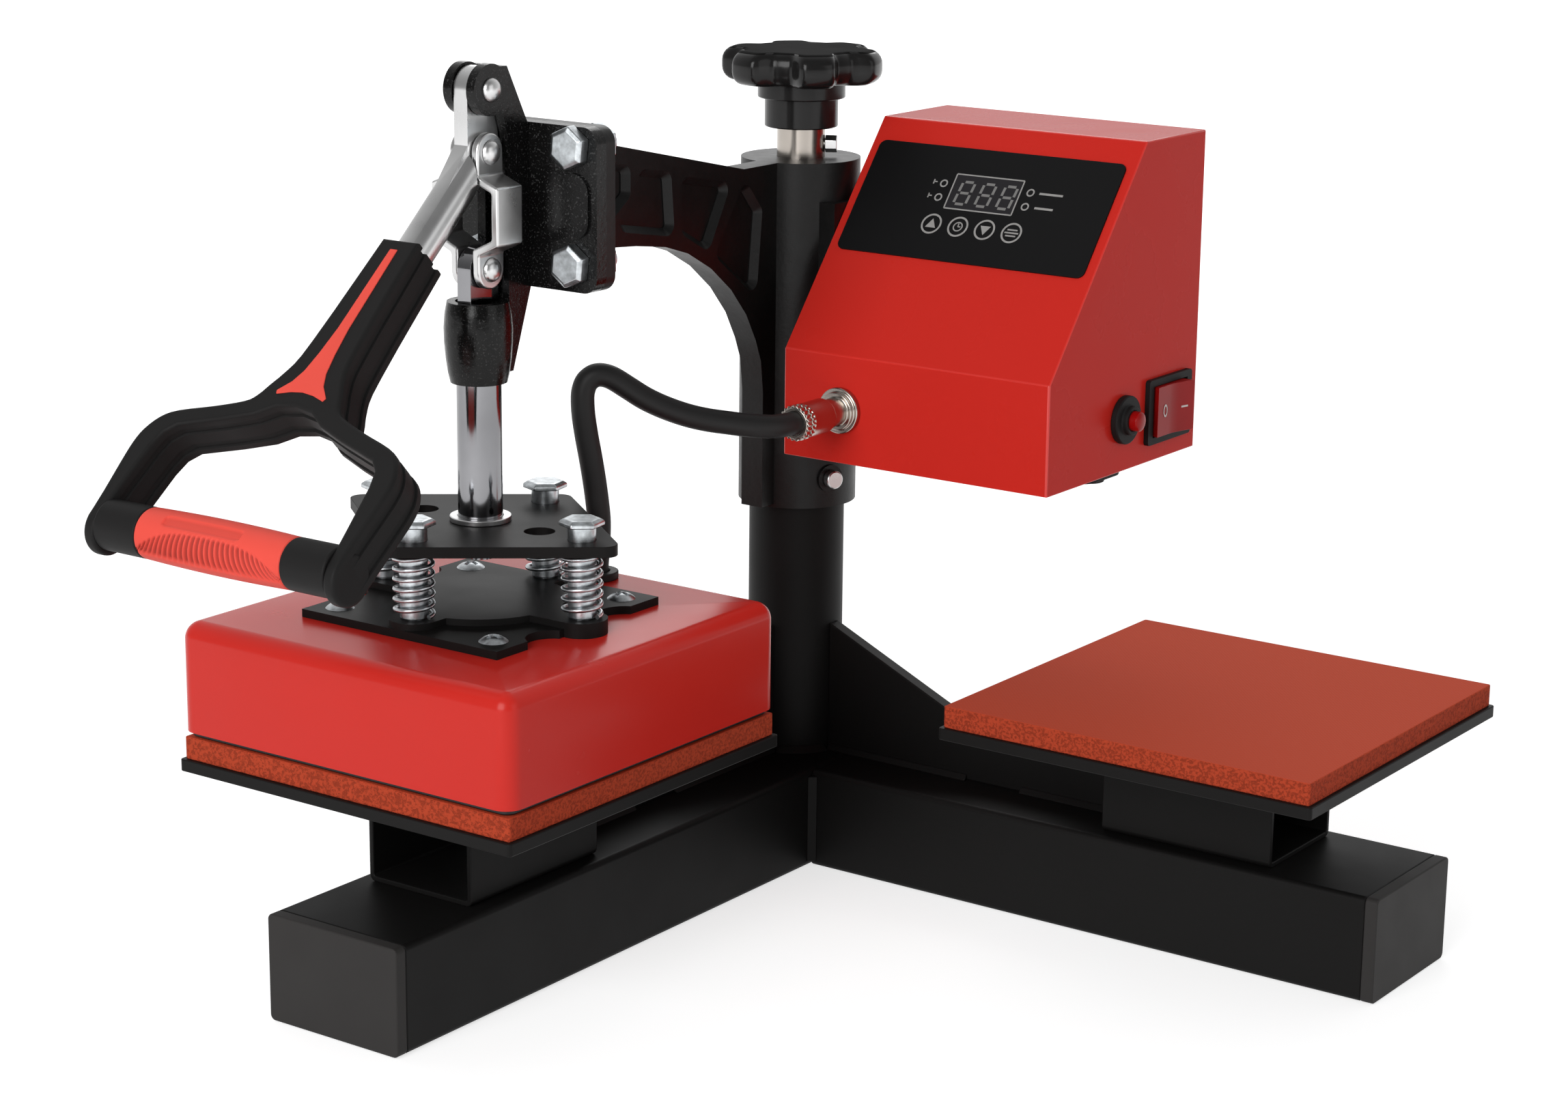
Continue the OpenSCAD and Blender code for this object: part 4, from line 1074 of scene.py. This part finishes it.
class PRESS_OT_handle(bpy.types.Operator):
    """Moulded handle with its red inlay and ribbed grip"""

    bl_idname = "press.handle"
    bl_label = "Handle"

    crown: bpy.props.FloatProperty(
        name="Crown", description="Swell of the grip at its middle", default=0.0006, unit="LENGTH")

    def execute(self, context):
        self.frame()
        dressed("handle_inlay")
        self.core()
        self.sleeve()
        return {"FINISHED"}

    def frame(self):
        rim = sizes().handle_rim
        outer = smooth_line([Vector((x, u, 0)) for x, u in OUTER_RIM], 3)
        inner = [Vector((x, u, 0)) for x, u in INNER_RIM]
        for p in (outer[-1], inner[0]):
            p.y += rim * 1000
        half = [Vector((8, 0, 0))] + outer + inner
        line = half + [Vector((-p.x, p.y, 0)) for p in reversed(half[:-1])]
        bm = bmesh.new()
        base = bm.faces.new([bm.verts.new(p / 1000) for p in line])
        bm.normal_update()
        walls = slab(bm, base, mm(HANDLE_DEEP), rim)
        bm.normal_update()
        side = [f for f in walls if f.is_valid and abs(f.normal.z) < 0.1]
        for inwards, depth in ((1.9, 0), (0.3, -0.8), (2.5, 0), (0.3, 0.7)):
            inset(bm, side, mm(inwards), mm(depth))
        deep = mm(HANDLE_DEEP / 2)
        for foot in (mm(-FOOT_OUT), mm(FOOT_IN)):
            known = set(bm.verts)
            made = round_face(bm, 48, deep)
            slab(bm, made[0].link_faces[0], mm(FOOT_OUT - FOOT_IN), rim)
            place = Matrix.Translation((foot, mm(BAR_DOWN), deep)) @ Matrix.Rotation(math.pi / 2, 4, "Y")
            put(bm, place, since(bm, known))
        put(bm, on_handle())
        finished(bm, "handle_frame", 35)

    def bar_place(self):
        """The grip's middle line, a little above the middle of the handle's feet."""
        return on_handle() @ Matrix.Translation((0, mm(BAR_DOWN - 1.3), mm(HANDLE_DEEP / 2 - 1.3)))

    def core(self):
        bm = bmesh.new()
        along = Matrix.Rotation(math.pi / 2, 4, "Y")
        for low, high, radius in ((-51.5, -32.5, 8.75), (32.5, 51.5, 8.75), (-40, 40, 6)):
            made = drum(bm, mm(radius), mm(low), mm(high))
            put(bm, along, made)
        put(bm, self.bar_place())
        soften(finished(bm, "grip_core"), mm(0.6), 3)

    def sleeve(self):
        """Rubber sleeve: a thumb recess above, and ribs fanned out below."""
        half = mm(32.7)
        bm = bmesh.new()
        bmesh.ops.create_grid(bm, x_segments=300, y_segments=110, size=1)
        # Painted shade: each point's depth in the grooves, and a third of its depth in the recess, is stored
        # for the grip's material to darken the colour there.
        dark = bm.verts.layers.float.new("painted_groove_shade")
        for v in bm.verts:
            x, turn = v.co.x * half, v.co.y * math.pi
            r = sizes().grip + self.crown * (1 - v.co.x ** 2)
            r -= mm(0.8) * max(0, (abs(v.co.x) - 0.975) / 0.025) ** 2
            rib, dip = self.ribs(x, math.degrees(turn)), self.recess(x, math.degrees(turn))
            v[dark] = rib / mm(0.9) + 0.3 * dip / mm(0.7)
            r -= dip + rib
            v.co = Vector((x, r * math.sin(turn), -r * math.cos(turn)))
        bmesh.ops.remove_doubles(bm, verts=bm.verts, dist=1e-6)
        for side in (-1, 1):
            rim = [e for e in bm.edges if len(e.link_faces) == 1 and e.verts[0].co.x * side > 0]
            bmesh.ops.edgeloop_fill(bm, edges=rim)
        put(bm, self.bar_place())
        finished(bm, "grip_sleeve", 60)

    def recess(self, x, turn):
        """Depth of the long oval pressed into the grip's upper side."""
        across = (abs(turn + 5) - 8) / 4
        along = (abs(x + mm(4)) - mm(15.5)) / mm(2)
        out = math.hypot(max(0, across), max(0, along))
        return mm(0.7) * max(0, min(1, (1.1 - out) / 0.3))

    def ribs(self, x, turn):
        """Depth of the grooves between the fanned ribs."""
        top = 14 + 44 * (abs(x) / mm(30)) ** 3.2
        low = 84
        if not top < turn < low:
            return 0
        t = (turn - top) / (low - top)
        wave = 0.5 - 0.5 * math.cos(2 * math.pi * x * (1.16 - 0.2 * t) / sizes().rib_pitch)
        return mm(0.9) * wave * min(1, (turn - top) / 5, (low - turn) / 9)


class PRESS_OT_platen(bpy.types.Operator):
    """Heat plate, red cover, plates, bolts and springs of the floating platen"""

    bl_idname = "press.platen"
    bl_label = "Platen"

    reveal: bpy.props.FloatProperty(
        name="Reveal", description="Strip of the heat plate that shows under its cover", default=0.0011,
        unit="LENGTH")

    def execute(self, context):
        for node in ("spider_plate", "heat_plate", "pressure_plate", "cable_grommet"):
            dressed(node)
        dressed("platen_cover", 0, angle=40, finish="red_cover", shape=self.trim)
        self.screws()
        self.shoulder_bolts()
        self.springs()
        return {"FINISHED"}

    def trim(self, bm):
        """Lifts the cover's lower edge, so that the heat plate, painted near black, shows as a dark line
        under it: painted shade for the gap between cover and pad.
        """
        low = min(v.co.z for v in bm.verts)
        for v in bm.verts:
            if v.co.z < low + mm(0.1):
                v.co.z += self.reveal

    def shoulder_bolts(self):
        """Four stepped bolts with thin hex heads, on which the springs sit."""
        low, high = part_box("shoulder_bolts")
        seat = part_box("platen_springs")[0].z
        head = mm(2.5)
        bm = bmesh.new()
        for x, y in POSTS:
            known = set(bm.verts)
            drum(bm, mm(4), low.z, seat + mm(1), 48)
            drum(bm, mm(5), seat, high.z - head, 64)
            hex_head(bm, mm(14), head, Matrix.Translation((0, 0, high.z - head))
                     @ Matrix.Rotation(math.radians(10), 4, "Z"))
            bmesh.ops.translate(bm, verts=since(bm, known), vec=(x, y - STATION, 0))
        soften(finished(bm, "shoulder_bolts", 25, "bolt_zinc"), mm(0.35), 2, 25)

    def screws(self):
        """Four domed screws with a cross recess."""
        low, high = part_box("plate_screws")
        head, rise = mm(5.2), mm(2.2)
        seat = high.z - rise
        bm = bmesh.new()
        for x in (low.x + head, high.x - head):
            for y in (low.y + head, high.y - head):
                known = set(bm.verts)
                bmesh.ops.create_grid(bm, x_segments=44, y_segments=44, size=1)
                fresh = since(bm, known)
                for v in fresh:
                    u, w = v.co.x, v.co.y
                    p = Vector((u * math.sqrt(1 - w * w / 2), w * math.sqrt(1 - u * u / 2), 0))
                    far = p.length
                    arm = min(abs(p.x), abs(p.y)) * head
                    z = rise * (1 - far ** 2.4)
                    if arm < mm(0.8) and far * head < mm(3):
                        z -= mm(1.1)
                    v.co = (p.x * head, p.y * head, z)
                edges = [e for e in bm.edges if len(e.link_faces) == 1 and e.verts[0] in set(fresh)]
                out = bmesh.ops.extrude_edge_only(bm, edges=edges)["geom"]
                lowered = of_kind(out, bmesh.types.BMVert)
                bmesh.ops.translate(bm, verts=lowered, vec=(0, 0, mm(-0.4)))
                rim = [e for e in of_kind(out, bmesh.types.BMEdge) if all(v in lowered for v in e.verts)]
                bmesh.ops.edgeloop_fill(bm, edges=rim)
                bmesh.ops.translate(bm, verts=fresh + lowered, vec=(x, y, seat))
                stem = drum(bm, mm(2.5), low.z, seat, 24)
                bmesh.ops.translate(bm, verts=stem, vec=(x, y, 0))
        finished(bm, "plate_screws", 40, "bolt_zinc")

    def springs(self):
        low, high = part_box("platen_springs")
        wire = sizes().wire
        steps = 32 * sizes().turns
        radius, rise = mm(6.65), high.z - low.z - wire
        parts = []
        for x, y in POSTS:
            points = []
            for i in range(steps + 1):
                a = 2 * math.pi * i / 32
                points.append(Vector((x + radius * math.cos(a), y - STATION + radius * math.sin(a),
                                      low.z + wire / 2 + rise * i / steps)))
            parts.append(tube_mesh("spring", points, wire / 2, 10, "zinc"))
        bm = bmesh.new()
        for part in parts:
            bm.from_mesh(part.data)
            bpy.data.objects.remove(part)
        obj = object_from(bm, "spring_coils", "platen", "zinc", 60, "bolt_zinc")
        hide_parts("platen_springs")
        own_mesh(obj)


PIECES = (
    PRESS_OT_stage, PRESS_OT_cable, PRESS_OT_base, PRESS_OT_pads, PRESS_OT_lift, PRESS_OT_arm,
    PRESS_OT_box, PRESS_OT_panel, PRESS_OT_switches, PRESS_OT_lever, PRESS_OT_handle, PRESS_OT_platen,
)


class PRESS_PT_pieces(bpy.types.Panel):
    """Lists the press's settings and pieces"""

    bl_idname = "PRESS_PT_pieces"
    bl_label = "Heat press"
    bl_space_type = "VIEW_3D"
    bl_region_type = "UI"
    bl_category = "Heat press"

    def draw(self, context):
        for group in (context.scene.press_sizes, context.scene.press_colours):
            for key in group.bl_rna.properties.keys():
                if key not in ("rna_type", "name"):
                    self.layout.prop(group, key)
        for piece in PIECES:
            self.layout.operator(piece.bl_idname)


CLASSES = (PressSizes, PressColours, *PIECES, PRESS_PT_pieces)


def register():
    for cls in CLASSES:
        bpy.utils.register_class(cls)
    bpy.types.Scene.press_sizes = bpy.props.PointerProperty(type=PressSizes)
    bpy.types.Scene.press_colours = bpy.props.PointerProperty(type=PressColours)


def unregister():
    del bpy.types.Scene.press_colours
    del bpy.types.Scene.press_sizes
    for cls in reversed(CLASSES):
        bpy.utils.unregister_class(cls)


def main():
    register()
    for piece in PIECES:
        group, call = piece.bl_idname.split(".")
        getattr(getattr(bpy.ops, group), call)()


if __name__ == "__main__":
    main()
